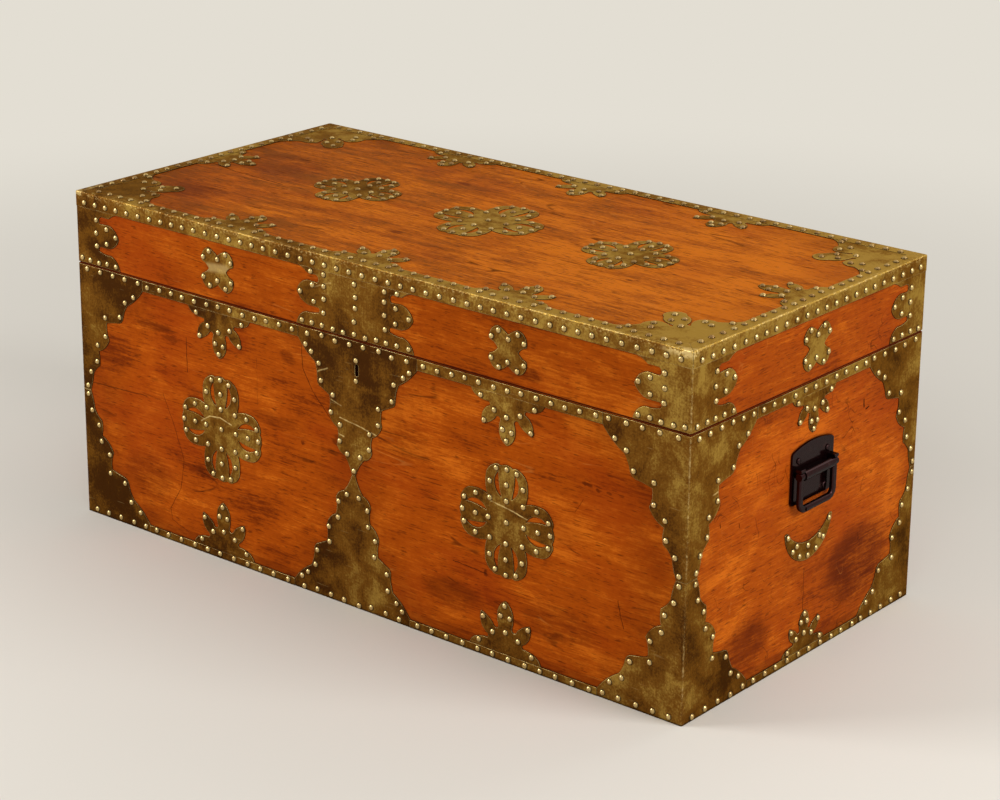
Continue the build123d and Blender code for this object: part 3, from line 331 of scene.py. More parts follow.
def shaken(tree, where, size_mm, reach_mm):
    """The place moved about by cloudy noise, so that what follows it has ragged edges."""
    cloud = add(tree, "TexNoise", {"Vector": where, "Scale": PER_M / size_mm}).outputs["Color"]
    shift = add(tree, "VectorMath", [cloud, (0.5, 0.5, 0.5)], operation="SUBTRACT")
    shift = add(tree, "VectorMath", {0: shift, "Scale": 2 * reach_mm * MM}, operation="SCALE")
    return add(tree, "VectorMath", [where, shift], operation="ADD")


def drawn_out(tree, where, pull, size_mm, detail=2.0, roughness=0.5, distortion=0.0, turn=(0, 0, 0)):
    """Noise with patches about size_mm across, which are longer along an axis that pull holds back."""
    placed = add(tree, "Mapping", {"Vector": where, "Scale": pull, "Rotation": turn})
    return add(tree, "TexNoise", {
        "Vector": placed, "Scale": PER_M / size_mm, "Detail": detail, "Roughness": roughness,
        "Distortion": distortion})


def patchy(tree, where, size_mm, limits, shares=(0.0, 1.0), detail=3.0, roughness=0.6):
    """Patches about size_mm across: from one share to the other as the noise passes the limits."""
    cloud = add(tree, "TexNoise", {
        "Vector": where, "Scale": PER_M / size_mm, "Detail": detail, "Roughness": roughness})
    return add(tree, "MapRange", [cloud, *limits, *shares], **SMOOTH)


def toned(tree, value, limits, first, second, shares=(0.0, 1.0)):
    """The first colour going over to the second, share by share, as a value passes the limits."""
    amount = add(tree, "MapRange", [value, *limits, *shares], **SMOOTH)
    return overlaid(tree, first, (amount, second))


def overlaid(tree, colour, *coats):
    """A colour under coats of others, each of which covers what lies below by its own share."""
    for share, coat in coats:
        colour = add(tree, "Mix", {0: share, 6: colour, 7: coat}, data_type="RGBA")
    return colour


def apart(tree, value, level):
    """How far a value lies from a level, above or below it."""
    gap = add(tree, "Math", [value, level], operation="SUBTRACT")
    return add(tree, "Math", [gap], operation="ABSOLUTE")


def mixed(tree, *parts):
    """0.5 plus each noise's distance from 0.5 times its weight."""
    return summed(tree, 0.5, *(
        (add(tree, "Math", [value, 0.5], operation="SUBTRACT"), weight) for value, weight in parts))


def summed(tree, base, *parts):
    """A base plus each value times its weight."""
    for value, weight in parts:
        base = add(tree, "Math", [value, weight, base], operation="MULTIPLY_ADD")
    return base


def strongest(tree, *marks):
    """The strongest of several marks, each times its weight, and nowhere below 0."""
    most = 0.0
    for mark, weight in marks:
        weighted = add(tree, "Math", [mark, weight], operation="MULTIPLY")
        most = add(tree, "Math", [most, weighted], operation="MAXIMUM")
    return most


def rounded_panel(tree, across, up, half_sizes, power):
    """0 in the middle of a panel with well-rounded corners, rising to 1 at its rim."""
    shares = []
    for offset, half_size in zip((across, up), half_sizes):
        share = add(tree, "Math", [offset, half_size], operation="DIVIDE")
        share = add(tree, "Math", [share], operation="ABSOLUTE")
        shares.append(add(tree, "Math", [share, power], operation="POWER"))
    total = add(tree, "Math", shares, operation="ADD")
    return add(tree, "MapRange", [total, 0.42, 1.15], **SMOOTH)


def darkened_rims(tree, x, y, z):
    """Darker polish towards the brass, round each bare panel of the front, the ends and the top."""
    aside = add(tree, "Math", [x], operation="ABSOLUTE")
    across = add(tree, "Math", [aside, FRONT_PANEL_MIDDLE], operation="SUBTRACT")
    up = add(tree, "Math", [z, RIM_Z / 2], operation="SUBTRACT")
    front = rounded_panel(tree, across, up, FRONT_PANEL, 2.6)
    end = rounded_panel(tree, y, up, END_PANEL, 2.6)
    top = rounded_panel(tree, aside, y, TOP_PANEL, 3.0)
    on_end = add(tree, "MapRange", [aside, OUTER_X - 4 * MM, OUTER_X - 3 * MM], **SMOOTH)
    on_top = add(tree, "MapRange", [z, TOP_Z - 4 * MM, TOP_Z - 3 * MM], **SMOOTH)
    side = add(tree, "Mix", {0: on_end, 2: front, 3: end})
    # The low rails of the lid darken only a little.
    in_lid = add(tree, "MapRange", [z, RIM_Z, RIM_Z + 2 * MM], **SMOOTH)
    side = add(tree, "Math", [side, summed(tree, 1.0, (in_lid, -0.65))], operation="MULTIPLY")
    return add(tree, "Mix", {0: on_top, 2: side, 3: top})


def inside_mask(tree, x, y, z):
    """1 on faces that look into the chest."""
    slack = 0.5 * MM
    below_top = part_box("lid_top_board")[0][2] + slack
    inside = add(tree, "Math", [z, below_top], operation="LESS_THAN")
    for place, wall_face in ((x, WOOD_HIGH[0] - WALL), (y, -WOOD_LOW[1] - WALL)):
        aside = add(tree, "Math", [place], operation="ABSOLUTE")
        between = add(tree, "Math", [aside, wall_face + slack], operation="LESS_THAN")
        inside = add(tree, "Math", [between, inside], operation="MULTIPLY")
    return inside


def folded_edges(tree, where, reach_mm, posts=1.0):
    """1 at the folded top edges and posts at the upright ones, falling to 0 at reach_mm from them."""
    x, y, z = add(tree, "SeparateXYZ", [where]).outputs
    aside = [add(tree, "Math", [place], operation="ABSOLUTE") for place in (x, y)]
    near = []
    for place, outer in zip((*aside, z), (OUTER_X, OUTER_Y, TOP_Z)):
        away = add(tree, "Math", [outer, place], operation="SUBTRACT")
        near.append(add(tree, "MapRange", [away, 0.0, reach_mm * MM, 1.0, 0.0], **SMOOTH))
    at_corner = add(tree, "Math", near[:2], operation="MULTIPLY")
    at_side = add(tree, "Math", near[:2], operation="MAXIMUM")
    return strongest(tree, (at_corner, posts), (at_side, near[2]))


# ---- Materials ----
def polished_hardwood(name, along, cracks=(), stains=(), age=0.0, sunned_and_lit=0.0, sheen=0.012):
    """French-polished tropical hardwood: warm orange, fine fibres, dark pores, old polish and scratches.

    Age moves the whole board towards its dark tone. A board left in the sun is browner and its grain stands
    out; on it the painted light, paler towards the right, is also steeper.
    """
    wood = bpy.context.scene.chest_wood
    material, tree, where = new_material(name)
    x, y, z = add(tree, "SeparateXYZ", [where]).outputs

    def pulled(share):
        return (share, 1, 1) if along == "x" else (1, share, 1)

    # Slow waves in the growth rings, so that the streaks wander along the board.
    waved = shaken(tree, where, 420, 14)
    streaks = drawn_out(tree, waved, pulled(0.14), wood.streak, 3.0, 0.6, 0.5)
    # Real fibres are finer than 1 mm; these are drawn about 2 mm wide so that they show.
    fibres = drawn_out(tree, waved, pulled(0.05), wood.fibre, 2.0, 0.6)
    mottle = drawn_out(tree, where, pulled(0.5), 3.4, 3.0, 0.7)
    cloud = drawn_out(tree, where, pulled(0.55), 85, 3.0, 0.6, 0.6)
    # Broad bands of paler and darker wood, some hundreds of millimetres long.
    bands = drawn_out(tree, shaken(tree, where, 260, 30), pulled(0.12), 30, 2.0, 0.5, 0.6)
    figure = mixed(
        tree, (streaks, 0.40 + sunned_and_lit), (fibres, 0.55 + 1.1 * sunned_and_lit), (mottle, 0.36 + 0.6 * sunned_and_lit),
        (cloud, 1.05 + 0.5 * sunned_and_lit), (bands, 0.30 + 1.0 * sunned_and_lit))
    # Painted light: the right-hand side is painted paler, where the studio light falls brighter.
    painted_light_right = add(tree, "MapRange", [x, -0.56, 0.56, -0.06 - 0.24 * sunned_and_lit, 0.03 + 0.42 * sunned_and_lit], **SMOOTH)
    figure = add(tree, "Math", [figure, painted_light_right], operation="ADD")
    colour = toned(tree, figure, (0.16, 0.48), wood.dark, wood.middle)
    colour = toned(tree, figure, (0.46, 0.80), colour, wood.light)
    # Redder patches, where the polish lies thicker.
    thick = drawn_out(tree, where, pulled(0.5), 130, 3.0, 0.6)
    thick = add(tree, "MapRange", [thick, 0.48, 0.66, 0.0, 0.45 * (1.0 - sunned_and_lit)], **SMOOTH)
    # Open pores: short dark dashes, drawn 1.6 mm wide so that they show.
    pores = drawn_out(tree, where, pulled(0.09), 1.6, 1.0, 0.4)
    pores = add(tree, "MapRange", [pores, 0.62, 0.70, 0.0, 0.5 + 0.3 * sunned_and_lit], **SMOOTH)
    flecks = drawn_out(tree, where, pulled(0.45), 4.2, 2.0, 0.6)
    flecks = add(tree, "MapRange", [flecks, 0.74, 0.80, 0.0, 0.6], **SMOOTH)
    pitted = strongest(tree, (pores, 1.0), (flecks, 1.0))
    colour = overlaid(
        tree, colour, (0.5 * sunned_and_lit, linear("#B4721A")), (thick, linear("#96360A")), (pitted, wood.grime_and_shade))
    # Fine scratches of many journeys, in several directions, some dark and some pale.
    hairs = []
    for turn, size in (((0.3, 0.5, 0.45), 26), ((-0.4, -0.7, -0.9), 34), ((0.9, 1.2, 0.2), 22)):
        wave = drawn_out(tree, where, (0.10, 1, 1), size, 0.0, turn=turn)
        hairs.append(add(tree, "MapRange", [apart(tree, wave, 0.5), 0.004, 0.014, 1.0, 0.0], **SMOOTH))
    scratched = patchy(tree, where, 60, (0.52, 0.66))
    dark_hairs = add(tree, "Math", hairs[:2], operation="MAXIMUM")
    dark_hairs = add(tree, "Math", [dark_hairs, scratched], operation="MULTIPLY")
    pale_hairs = patchy(tree, where, 72, (0.55, 0.68), (0.0, 0.22))
    pale_hairs = add(tree, "Math", [hairs[2], pale_hairs], operation="MULTIPLY")
    # Old polish gathers in a thin line against the brass, and this line also paints the shade of the raised
    # plates there, and in a wider one above the base strips.
    ao_shade = add(tree, "AmbientOcclusion", {"Distance": 5 * MM}, samples=8).outputs["AO"]
    gathered = add(tree, "MapRange", [ao_shade, 0.62, 0.97, 0.9, 0.0], **SMOOTH)
    base_band = add(tree, "MapRange", [z, 22 * MM, 26 * MM, 0.5, 0.0], **SMOOTH)
    ragged = patchy(tree, where, 46, (0.3, 0.7), (0.3, 1.0), 4.0, 0.65)
    ragged = add(tree, "Math", [darkened_rims(tree, x, y, z), ragged], operation="MULTIPLY")
    darker = [(ragged, 0.45), (base_band, 1.0)]
    if stains:
        taken_up = add(tree, "MapRange", [figure, 0.35, 0.7, 1.0, 0.55], **SMOOTH)
        darker.append((stained(tree, shaken(tree, where, 14, 6), stains), taken_up))
    darker = add(tree, "Math", [strongest(tree, *darker), age], operation="ADD", use_clamp=True)
    shade = overlaid(tree, wood.dark, (0.35, wood.grime_and_shade))
    dirt_and_shade = [(dark_hairs, 0.55 + 0.3 * sunned_and_lit), (gathered, 1.0)]
    # Cracks and scratches; on the box boards the first is the painted shade of the keyhole.
    if cracks:
        dirt_and_shade.append((cracked(tree, shaken(tree, where, 9, 1.3), cracks), 1.0))
    grime_and_shade = strongest(tree, *dirt_and_shade)
    colour = overlaid(tree, colour, (darker, shade), (pale_hairs, linear("#D98A3C")), (grime_and_shade, wood.grime_and_shade))
    # Painted shade: the closing line is painted dark red, the shade in its narrow gap over dark old wax;
    # the level rims that meet there get less of it.
    normal = add(tree, "NewGeometry").outputs["Normal"]
    level = add(tree, "Math", [add(tree, "SeparateXYZ", [normal]).outputs["Z"]], operation="ABSOLUTE")
    seam_shade = add(tree, "Math", [level, 1.7 * MM, apart(tree, z, RIM_Z)], operation="MULTIPLY_ADD")
    colour = toned(tree, seam_shade, (1.2 * MM, 2.1 * MM), colour, linear("#48150A"), (0.9, 0.0))
    # Bare wood inside, which never saw polish.
    inside = inside_mask(tree, x, y, z)
    plain = mixed(tree, (streaks, 0.5), (fibres, 0.7), (cloud, 0.3))
    bare = toned(tree, plain, (0.2, 0.8), linear("#5E3C20"), linear("#9A7044"))
    colour = overlaid(tree, colour, (inside, bare))
    gloss = summed(tree, wood.gloss - 0.10, (cloud, 0.20), (grime_and_shade, 0.2))
    gloss = add(tree, "Math", [inside, 0.35, gloss], operation="MULTIPLY_ADD", use_clamp=True)
    height = summed(tree, 0.0, (fibres, 0.6), (pores, -0.8), (grime_and_shade, -0.8))
    grain = add(tree, "Bump", {"Strength": 0.35, "Distance": 0.25 * MM, "Height": height})
    sway = add(tree, "TexNoise", {"Vector": where, "Scale": PER_M / 60, "Detail": 1.0})
    surface = add(tree, "Bump", {"Strength": 0.5, "Distance": 1.0 * MM, "Height": sway, "Normal": grain})
    # Amber shellac over the wood gives its sheen a warm tint.
    shader = add(tree, "BsdfPrincipled", {
        "Base Color": colour, "Roughness": gloss, "Normal": surface, "IOR": 1.5,
        "Specular IOR Level": sheen, "Specular Tint": linear("#FFB060")})
    add(tree, "OutputMaterial", {"Surface": shader})
    return material


def sawn_deal():
    """Rough-sawn softwood planks: dull brown, with saw marks across the boards."""
    material, tree, where = new_material("sawn_deal")
    grain = drawn_out(tree, where, (0.05, 1, 1), 7, 4.0, 0.6)
    saw_marks = drawn_out(tree, where, (1, 0.06, 1), 2.2, 1.0)
    blotch = add(tree, "TexNoise", {"Vector": where, "Scale": PER_M / 150, "Detail": 3.0})
    colour = toned(tree, grain, (0.35, 0.68), linear("#5A3A20"), linear("#8A6238"))
    colour = toned(tree, blotch, (0.4, 0.7), colour, linear("#3B2615"), (0.0, 0.5))
    height = add(tree, "Math", [grain, 0.6, saw_marks], operation="MULTIPLY_ADD")
    bump = add(tree, "Bump", {"Strength": 0.6, "Distance": 0.5 * MM, "Height": height})
    shader = add(tree, "BsdfPrincipled", {
        "Base Color": colour, "Roughness": 0.85, "Normal": bump, "IOR": 1.45})
    add(tree, "OutputMaterial", {"Surface": shader})
    return material


def patinated_sheet_brass(name, size_mm=38.0, lift=0.0, crease_highlights=(), knocks=()):
    """Hand-cut rolled brass, brown and olive with age, a little buckled, rubbed brighter in places.

    Lift moves the whole sheet towards its bright tone.
    """
    brass = bpy.context.scene.chest_brass
    material, tree, where = new_material(name)
    x, _, z = add(tree, "SeparateXYZ", [where]).outputs
    cloud = add(tree, "TexNoise", {
        "Vector": where, "Scale": PER_M / size_mm, "Detail": 4.0, "Roughness": 0.6, "Distortion": 0.5})
    specks = add(tree, "TexNoise", {
        "Vector": where, "Scale": PER_M / 3, "Detail": 3.0, "Roughness": 0.7})
    broad = add(tree, "TexNoise", {"Vector": where, "Scale": PER_M / 150})
    # Faint upright marks of the rolls and of rubbing cloths, drawn 2.4 mm apart so that they show.
    rolled = drawn_out(tree, where, (1, 1, 0.07), 2.4, 2.0, 0.6)
    amount = mixed(tree, (cloud, 1.05), (broad, 1.0), (specks, 0.6), (rolled, 0.2))
    # The lid is brighter. Painted light: the sheet is painted brighter towards the right, where the studio
    # light falls brighter.
    on_lid = add(tree, "MapRange", [z, RIM_Z, RIM_Z + 2 * MM, 0.0, 0.10], **SMOOTH)
    lit_right = add(tree, "MapRange", [x, -OUTER_X, 0.1, -0.08, 0.02], **SMOOTH)
    # The top is brighter, and painted light makes it brighter still towards its right-hand end, where the
    # studio light falls brighter.
    on_top = add(tree, "MapRange", [z, TOP_Z - 1.6 * MM, TOP_Z - 0.9 * MM], **SMOOTH)
    lit_top_right = add(tree, "MapRange", [x, -OUTER_X, OUTER_X, 0.0, 0.20], **SMOOTH)
    amount = summed(tree, amount, (on_lid, 1.0), (lit_right, 1.0), (lift, 1.0), (on_top, lit_top_right))
    colour = toned(tree, amount, (0.25, 0.60), brass.patina, brass.metal)
    rubbed = add(tree, "MapRange", [amount, 0.55, 0.95], **SMOOTH)
    # Fine scratches, drawn 1.8 mm apart so that they show.
    lines = drawn_out(tree, where, (0.05, 1, 1), 1.8, 1.0, turn=(0.5, 0.9, 0.6))
    lines = add(tree, "MapRange", [lines, 0.72, 0.78, 0.0, 0.16], **SMOOTH)
    # The rim of each plate, turned down by the hammer and kept bright by cloths, and painted brighter still
    # as a highlight along its outline.
    rounded = add(tree, "Bevel", {"Radius": brass.glint}, samples=6)
    facing = add(tree, "NewGeometry").outputs["Normal"]
    level = add(tree, "VectorMath", [rounded, facing], operation="DOT_PRODUCT")
    rim = add(tree, "MapRange", [level, 0.80, 0.985, 1.0, 0.0], **SMOOTH)
    # Folded edges are hammered, pitted and worn almost white, most of all towards the right.
    dinted = add(tree, "TexNoise", {
        "Vector": where, "Scale": PER_M / 6.5, "Detail": 3.0, "Roughness": 0.65})
    uneven = add(tree, "TexNoise", {"Vector": where, "Scale": PER_M / 60})
    broken = mixed(tree, (dinted, 1.3), (uneven, 0.8))
    broken = add(tree, "MapRange", [broken, 0.46, 0.74], **SMOOTH)
    worn_right = add(tree, "MapRange", [x, 0.15, OUTER_X, 0.3, 1.0], **SMOOTH)
    fold = folded_edges(tree, shaken(tree, where, 9, 1.6), 2.6)
    fold = add(tree, "Math", [fold, broken], operation="MULTIPLY")
    # Beside the folds the sheet is scuffed in small spots.
    scuffed = folded_edges(tree, where, 11.0, 0.15)
    spots = patchy(tree, where, 3, (0.54, 0.64), (0.0, 0.5), 3.0, 0.7)
    # Bright marks: wear, with painted highlights along the plates' outlines and their knocked ridges.
    marks = [
        (rim, patchy(tree, where, 18, (0.34, 0.66), (0.1, 0.8))), (lines, 1.0), (fold, worn_right),
        (scuffed, spots)]
    if knocks:
        crumpled = add(tree, "MapRange", [dinted, 0.44, 0.54], **SMOOTH)
        marks.append((stained(tree, shaken(tree, where, 7, 5), knocks), crumpled))
    if crease_highlights:
        marks.append((cracked(tree, shaken(tree, where, 8, 1.0), crease_highlights), 1.0))
    marks = strongest(tree, *marks)
    colour = overlaid(tree, colour, (rubbed, brass.bright), (marks, brass.worn))
    # Dirt and old polish stay in the corners; this darkening also paints the shade round the nails and
    # along the edges of the plates.
    ao_shade = add(tree, "AmbientOcclusion", {"Distance": 4.5 * MM}, samples=8).outputs["AO"]
    colour = toned(tree, ao_shade, (0.5, 0.96), colour, linear("#1E0F05"), (0.98, 0.0))
    rough = strongest(tree, (rubbed, 1.0), (marks, 1.0))
    rough = add(tree, "Math", [rough, -0.17, 0.55], operation="MULTIPLY_ADD")
    rough = add(tree, "Math", [specks, 0.12, rough], operation="MULTIPLY_ADD", use_clamp=True)
    # Hammer dents along the folds, buckles in the sheet, and raised marks.
    dents = add(tree, "Math", [dinted, 0.5], operation="SUBTRACT")
    dents = add(tree, "Math", [dents, folded_edges(tree, where, 13.0)], operation="MULTIPLY")
    buckles = add(tree, "TexNoise", {"Vector": where, "Scale": PER_M / 55, "Detail": 1.5})
    ripples = add(tree, "TexNoise", {"Vector": where, "Scale": PER_M / 13})
    dents = summed(tree, dents, (buckles, 1.0), (ripples, 0.25), (marks, 0.12))
    buckle = add(tree, "Bump", {"Strength": 0.9, "Distance": 1.8 * MM, "Height": dents, "Normal": rounded})
    tooth = add(tree, "Bump", {"Strength": 0.3, "Distance": 0.2 * MM, "Height": specks, "Normal": buckle})
    shader = add(tree, "BsdfPrincipled", {
        "Base Color": colour, "Roughness": rough, "Metallic": 0.95, "Normal": tooth,
        "Specular Tint": linear("#EBD6B4")})
    add(tree, "OutputMaterial", {"Surface": shader})
    return material


def rubbed_cut_edge():
    """The snipped edge of the sheet, kept bright by cloths and hands."""
    brass = bpy.context.scene.chest_brass
    material, tree, where = new_material("rubbed_cut_brass_edge")
    worn = add(tree, "TexNoise", {"Vector": where, "Scale": PER_M / 16, "Detail": 4.0, "Roughness": 0.65})
    colour = toned(tree, worn, (0.42, 0.70), brass.metal, brass.worn)
    # Painted shade: along the closing line the edges are painted dark, as the shade in the gap.
    seam_shade = apart(tree, add(tree, "SeparateXYZ", [where]).outputs["Z"], RIM_Z)
    colour = toned(tree, seam_shade, (2.5 * MM, 4.0 * MM), colour, linear("#2A1808"), (0.85, 0.0))
    shader = add(tree, "BsdfPrincipled", {"Base Color": colour, "Roughness": 0.42, "Metallic": 0.9})
    add(tree, "OutputMaterial", {"Surface": shader})
    return material


def cast_nail_brass():
    """Cast brass nail heads, polished by touch on top, and dark round the foot with tarnish and painted
    shade.
    """
    brass = bpy.context.scene.chest_brass
    material, tree, where = new_material("cast_nail_brass")
    tone = add(tree, "Attribute", attribute_name="tone").outputs["Fac"]
    crown = add(tree, "Attribute", attribute_name="crown").outputs["Fac"]
    mottle = add(tree, "TexNoise", {
        "Vector": where, "Scale": PER_M / 3.6, "Detail": 3.0, "Roughness": 0.6})
    colour = toned(tree, tone, (0.0, 0.8), linear("#8E6A44"), brass.nail)
    colour = toned(tree, mottle, (0.50, 0.72), colour, linear("#8C6A36"), (0.0, 0.6))
    # Tarnish and painted shade: each dome darkens towards its foot.
    colour = toned(tree, crown, (0.08, 0.48), colour, linear("#332009"), (0.97, 0.0))
    rough = add(tree, "Math", [mottle, 0.16, 0.15], operation="MULTIPLY_ADD")
    bump = add(tree, "Bump", {"Strength": 0.7, "Distance": 0.5 * MM, "Height": mottle})
    shader = add(tree, "BsdfPrincipled", {
        "Base Color": colour, "Roughness": rough, "Metallic": 0.9, "Normal": bump,
        "Specular Tint": linear("#F0DCB8")})
    add(tree, "OutputMaterial", {"Surface": shader})
    return material


def japanned_iron(name="japanned_iron"):
    """Wrought iron under old black lacquer, rubbed to grey metal where hands hold it."""
    iron = bpy.context.scene.chest_iron
    material, tree, where = new_material(name)
    pits = add(tree, "TexNoise", {"Vector": where, "Scale": PER_M / 2.2, "Detail": 4.0, "Roughness": 0.65})
    held = patchy(tree, where, 14, (0.58, 0.78), (0.0, 0.35))
    rust = patchy(tree, where, 9, (0.66, 0.78), (0.0, 0.5), 4.0, 0.7)
    colour = overlaid(tree, iron.black, (held, iron.rubbed), (rust, linear("#2E1A10")))
    bump = add(tree, "Bump", {"Strength": 0.35, "Distance": 0.35 * MM, "Height": pits})
    rough = add(tree, "Math", [pits, 0.20, 0.06], operation="MULTIPLY_ADD")
    shader = add(tree, "BsdfPrincipled", {
        "Base Color": colour, "Roughness": rough, "Metallic": 0.85, "Normal": bump,
        "Specular IOR Level": 0.2, "Specular Tint": linear("#9A7470"), "Coat Weight": 0.25,
        "Coat Roughness": 0.1})
    add(tree, "OutputMaterial", {"Surface": shader})
    return material


def turned_metal(name, base, dull, roughness):
    """Plain turned or rolled metal with faint tarnish, for the hinges, the lock and the screws."""
    material, tree, where = new_material(name)
    tarnish = add(tree, "TexNoise", {
        "Vector": where, "Scale": PER_M / 8, "Detail": 4.0, "Roughness": 0.65})
    colour = toned(tree, tarnish, (0.4, 0.7), linear(base), linear(dull))
    tool_marks = add(tree, "TexNoise", {"Vector": where, "Scale": PER_M / 1.6})
    bump = add(tree, "Bump", {"Strength": 0.25, "Distance": 0.15 * MM, "Height": tool_marks})
    rough = add(tree, "Math", [tarnish, 0.25, roughness - 0.1], operation="MULTIPLY_ADD")
    shader = add(tree, "BsdfPrincipled", {
        "Base Color": colour, "Roughness": rough, "Metallic": 1.0, "Normal": bump})
    add(tree, "OutputMaterial", {"Surface": shader})
    return material


def seen_directly(tree):
    """1 for what the camera sees itself, in a mirror or through glass, and 0 for light on the object."""
    path = add(tree, "LightPath")
    return strongest(tree, *(
        (path.outputs[f"Is {way} Ray"], 1.0) for way in ("Camera", "Glossy", "Transmission")))


def studio_floor_paint():
    """Matt painted floor: pale, with the faintest unevenness; far off it meets the bright surround."""
    studio = bpy.context.scene.chest_studio
    material, tree, where = new_material("matt_floor_paint")
    mottle = add(tree, "TexNoise", {"Vector": where, "Scale": PER_M / 900})
    tone = toned(tree, mottle, (0.3, 0.7), studio.floor, linear("#B8B0A2"), (0.0, 0.04))
    paint = add(tree, "BsdfPrincipled", {"Base Color": tone, "Roughness": 0.9, "IOR": 1.3})
    away = add(tree, "VectorMath", [where], operation="LENGTH")
    far = add(tree, "MapRange", [away, 0.9, 2.6], **SMOOTH)
    share = add(tree, "Math", [seen_directly(tree), far], operation="MULTIPLY")
    glow = add(tree, "Emission", {"Color": studio.surround, "Strength": 1.0})
    surface = add(tree, "MixShader", [share, paint, glow])
    add(tree, "OutputMaterial", {"Surface": surface})
    return material


# ---- Pieces ----
def dress(node, *materials):
    """Gives a CAD node its materials, first one everywhere."""
    mesh = NODES[node].data
    mesh.materials.clear()
    for material in materials:
        mesh.materials.append(material)
    return NODES[node]


def soften(piece, width, edge_material=None, segments=2, angle=40):
    """Rounds the sharp edges of a piece so that they catch the light."""
    bevel = piece.modifiers.new("soft edge", "BEVEL")
    bevel.width = width
    bevel.segments = segments
    bevel.limit_method = "ANGLE"
    bevel.angle_limit = math.radians(angle)
    bevel.use_clamp_overlap = True
    bevel.harden_normals = True
    if edge_material is not None:
        bevel.material = edge_material


def loose_parts(mesh):
    """Low and high corner of every separate solid of a mesh."""
    points = np.empty(len(mesh.vertices) * 3)
    mesh.vertices.foreach_get("co", points)
    points = points.reshape(-1, 3)
    keys, group = np.unique(np.round(points * 1e6).astype(np.int64), axis=0, return_inverse=True)
    group = group.ravel()
    mesh.calc_loop_triangles()
    corners = np.empty(len(mesh.loop_triangles) * 3, dtype=np.int32)
    mesh.loop_triangles.foreach_get("vertices", corners)
    corners = group[corners].reshape(-1, 3)
    label = np.arange(len(keys))
    while True:
        lowest = label[corners].min(axis=1)
        fresh = label.copy()
        for column in range(3):
            np.minimum.at(fresh, corners[:, column], lowest)
        fresh = fresh[fresh]
        if np.array_equal(fresh, label):
            break
        label = fresh
    places = keys * 1e-6
    for name in np.unique(label):
        solid = places[label == name]
        yield solid.min(axis=0), solid.max(axis=0)


def nail_head(radius, height, rng):
    """Rows of points of one domed head on z = 0, a little uneven, and how high each lies on the dome."""
    ball = (radius ** 2 + height ** 2) / (2 * height)
    reach = math.asin(radius / ball)
    lobes = [(rng.uniform(0, math.tau), rng.uniform(0.0, 0.02)) for _ in range(3)]
    points, crowns = [(0.0, 0.0, height)], [1.0]
    for ring in range(1, HEAD_RINGS + 1):
        share = ring / HEAD_RINGS
        angle = reach * share
        for side in range(HEAD_SIDES):
            around = math.tau * side / HEAD_SIDES
            uneven = sum(
                size * math.cos((index + 2) * around + start) for index, (start, size) in enumerate(lobes))
            wobble = 1 + uneven * share
            out = ball * math.sin(angle) * wobble
            level = height - ball * (1 - math.cos(angle))
            points.append((out * math.cos(around), out * math.sin(around), level))
            crowns.append(1 - share)
    return points, crowns


def head_faces():
    """The faces of one nail head: a fan at the crown and rings of quads below it."""
    faces = [(0, 1 + side, 1 + (side + 1) % HEAD_SIDES) for side in range(HEAD_SIDES)]
    for ring in range(HEAD_RINGS - 1):
        start = 1 + ring * HEAD_SIDES
        below = start + HEAD_SIDES
        for side in range(HEAD_SIDES):
            after = (side + 1) % HEAD_SIDES
            faces.append((start + side, below + side, below + after, start + after))
    return faces


def nail_mesh(node):
    """All the nail heads of one node as one mesh."""
    brass = bpy.context.scene.chest_brass
    rng = random.Random(f"{node}{brass.seed}")
    points, faces, tones, crowns = [], [], [], []
    shape = head_faces()
    darkest, brightest = TOP_HEAD_TONES if node == "lid_studs_top" else HEAD_TONES
    for low, high in loose_parts(NODES[node].data):
        size = high - low
        axis = int(np.argmax(size))
        middle = (low + high) / 2
        sign = 1.0 if axis == 2 or middle[axis] > 0 else -1.0
        outer = high[axis] if sign > 0 else low[axis]
        seat = Vector(middle)
        seat[axis] = outer - sign * brass.head_height
        outward = Vector((0, 0, 0))
        outward[axis] = sign
        lean = Vector((rng.gauss(0, 1), rng.gauss(0, 1), rng.gauss(0, 1))) * brass.tilt * 0.4
        turn = (outward + lean).normalized().to_track_quat("Z", "Y").to_matrix().to_4x4()
        spin = Matrix.Rotation(rng.uniform(0, math.tau), 4, "Z")
        radius = brass.head_radius * rng.uniform(0.96, 1.03)
        height = brass.head_height * rng.uniform(0.86, 1.02)
        dome, crown = nail_head(radius, height, rng)
        place = Matrix.Translation(seat - outward * HEAD_SUNK) @ turn @ spin
        start = len(points)
        points += [place @ Vector(p) for p in dome]
        faces += [tuple(start + corner for corner in face) for face in shape]
        tones += [rng.uniform(darkest, brightest)] * len(dome)
        crowns += crown
    mesh = bpy.data.meshes.new(f"nail_heads_{node}")
    mesh.from_pydata(points, [], faces)
    for name, values in (("tone", tones), ("crown", crowns)):
        layer = mesh.attributes.new(name, "FLOAT", "POINT")
        layer.data.foreach_set("value", values)
    mesh.shade_smooth()
    return mesh


def sheet_nodes():
    """The CAD nodes that are cut from sheet brass."""
    words = (
        "corner_plate", "lock_plate", "centre_plate", "strips", "rosette", "leaf_plates", "quatrefoil")
    return [
        node for node in NODES
        if node == "crescents" or any(word in node for word in words)]


# ---- Operators ----
class ChestOperator:
    """What all the operators share."""
    bl_options = {"REGISTER", "UNDO"}


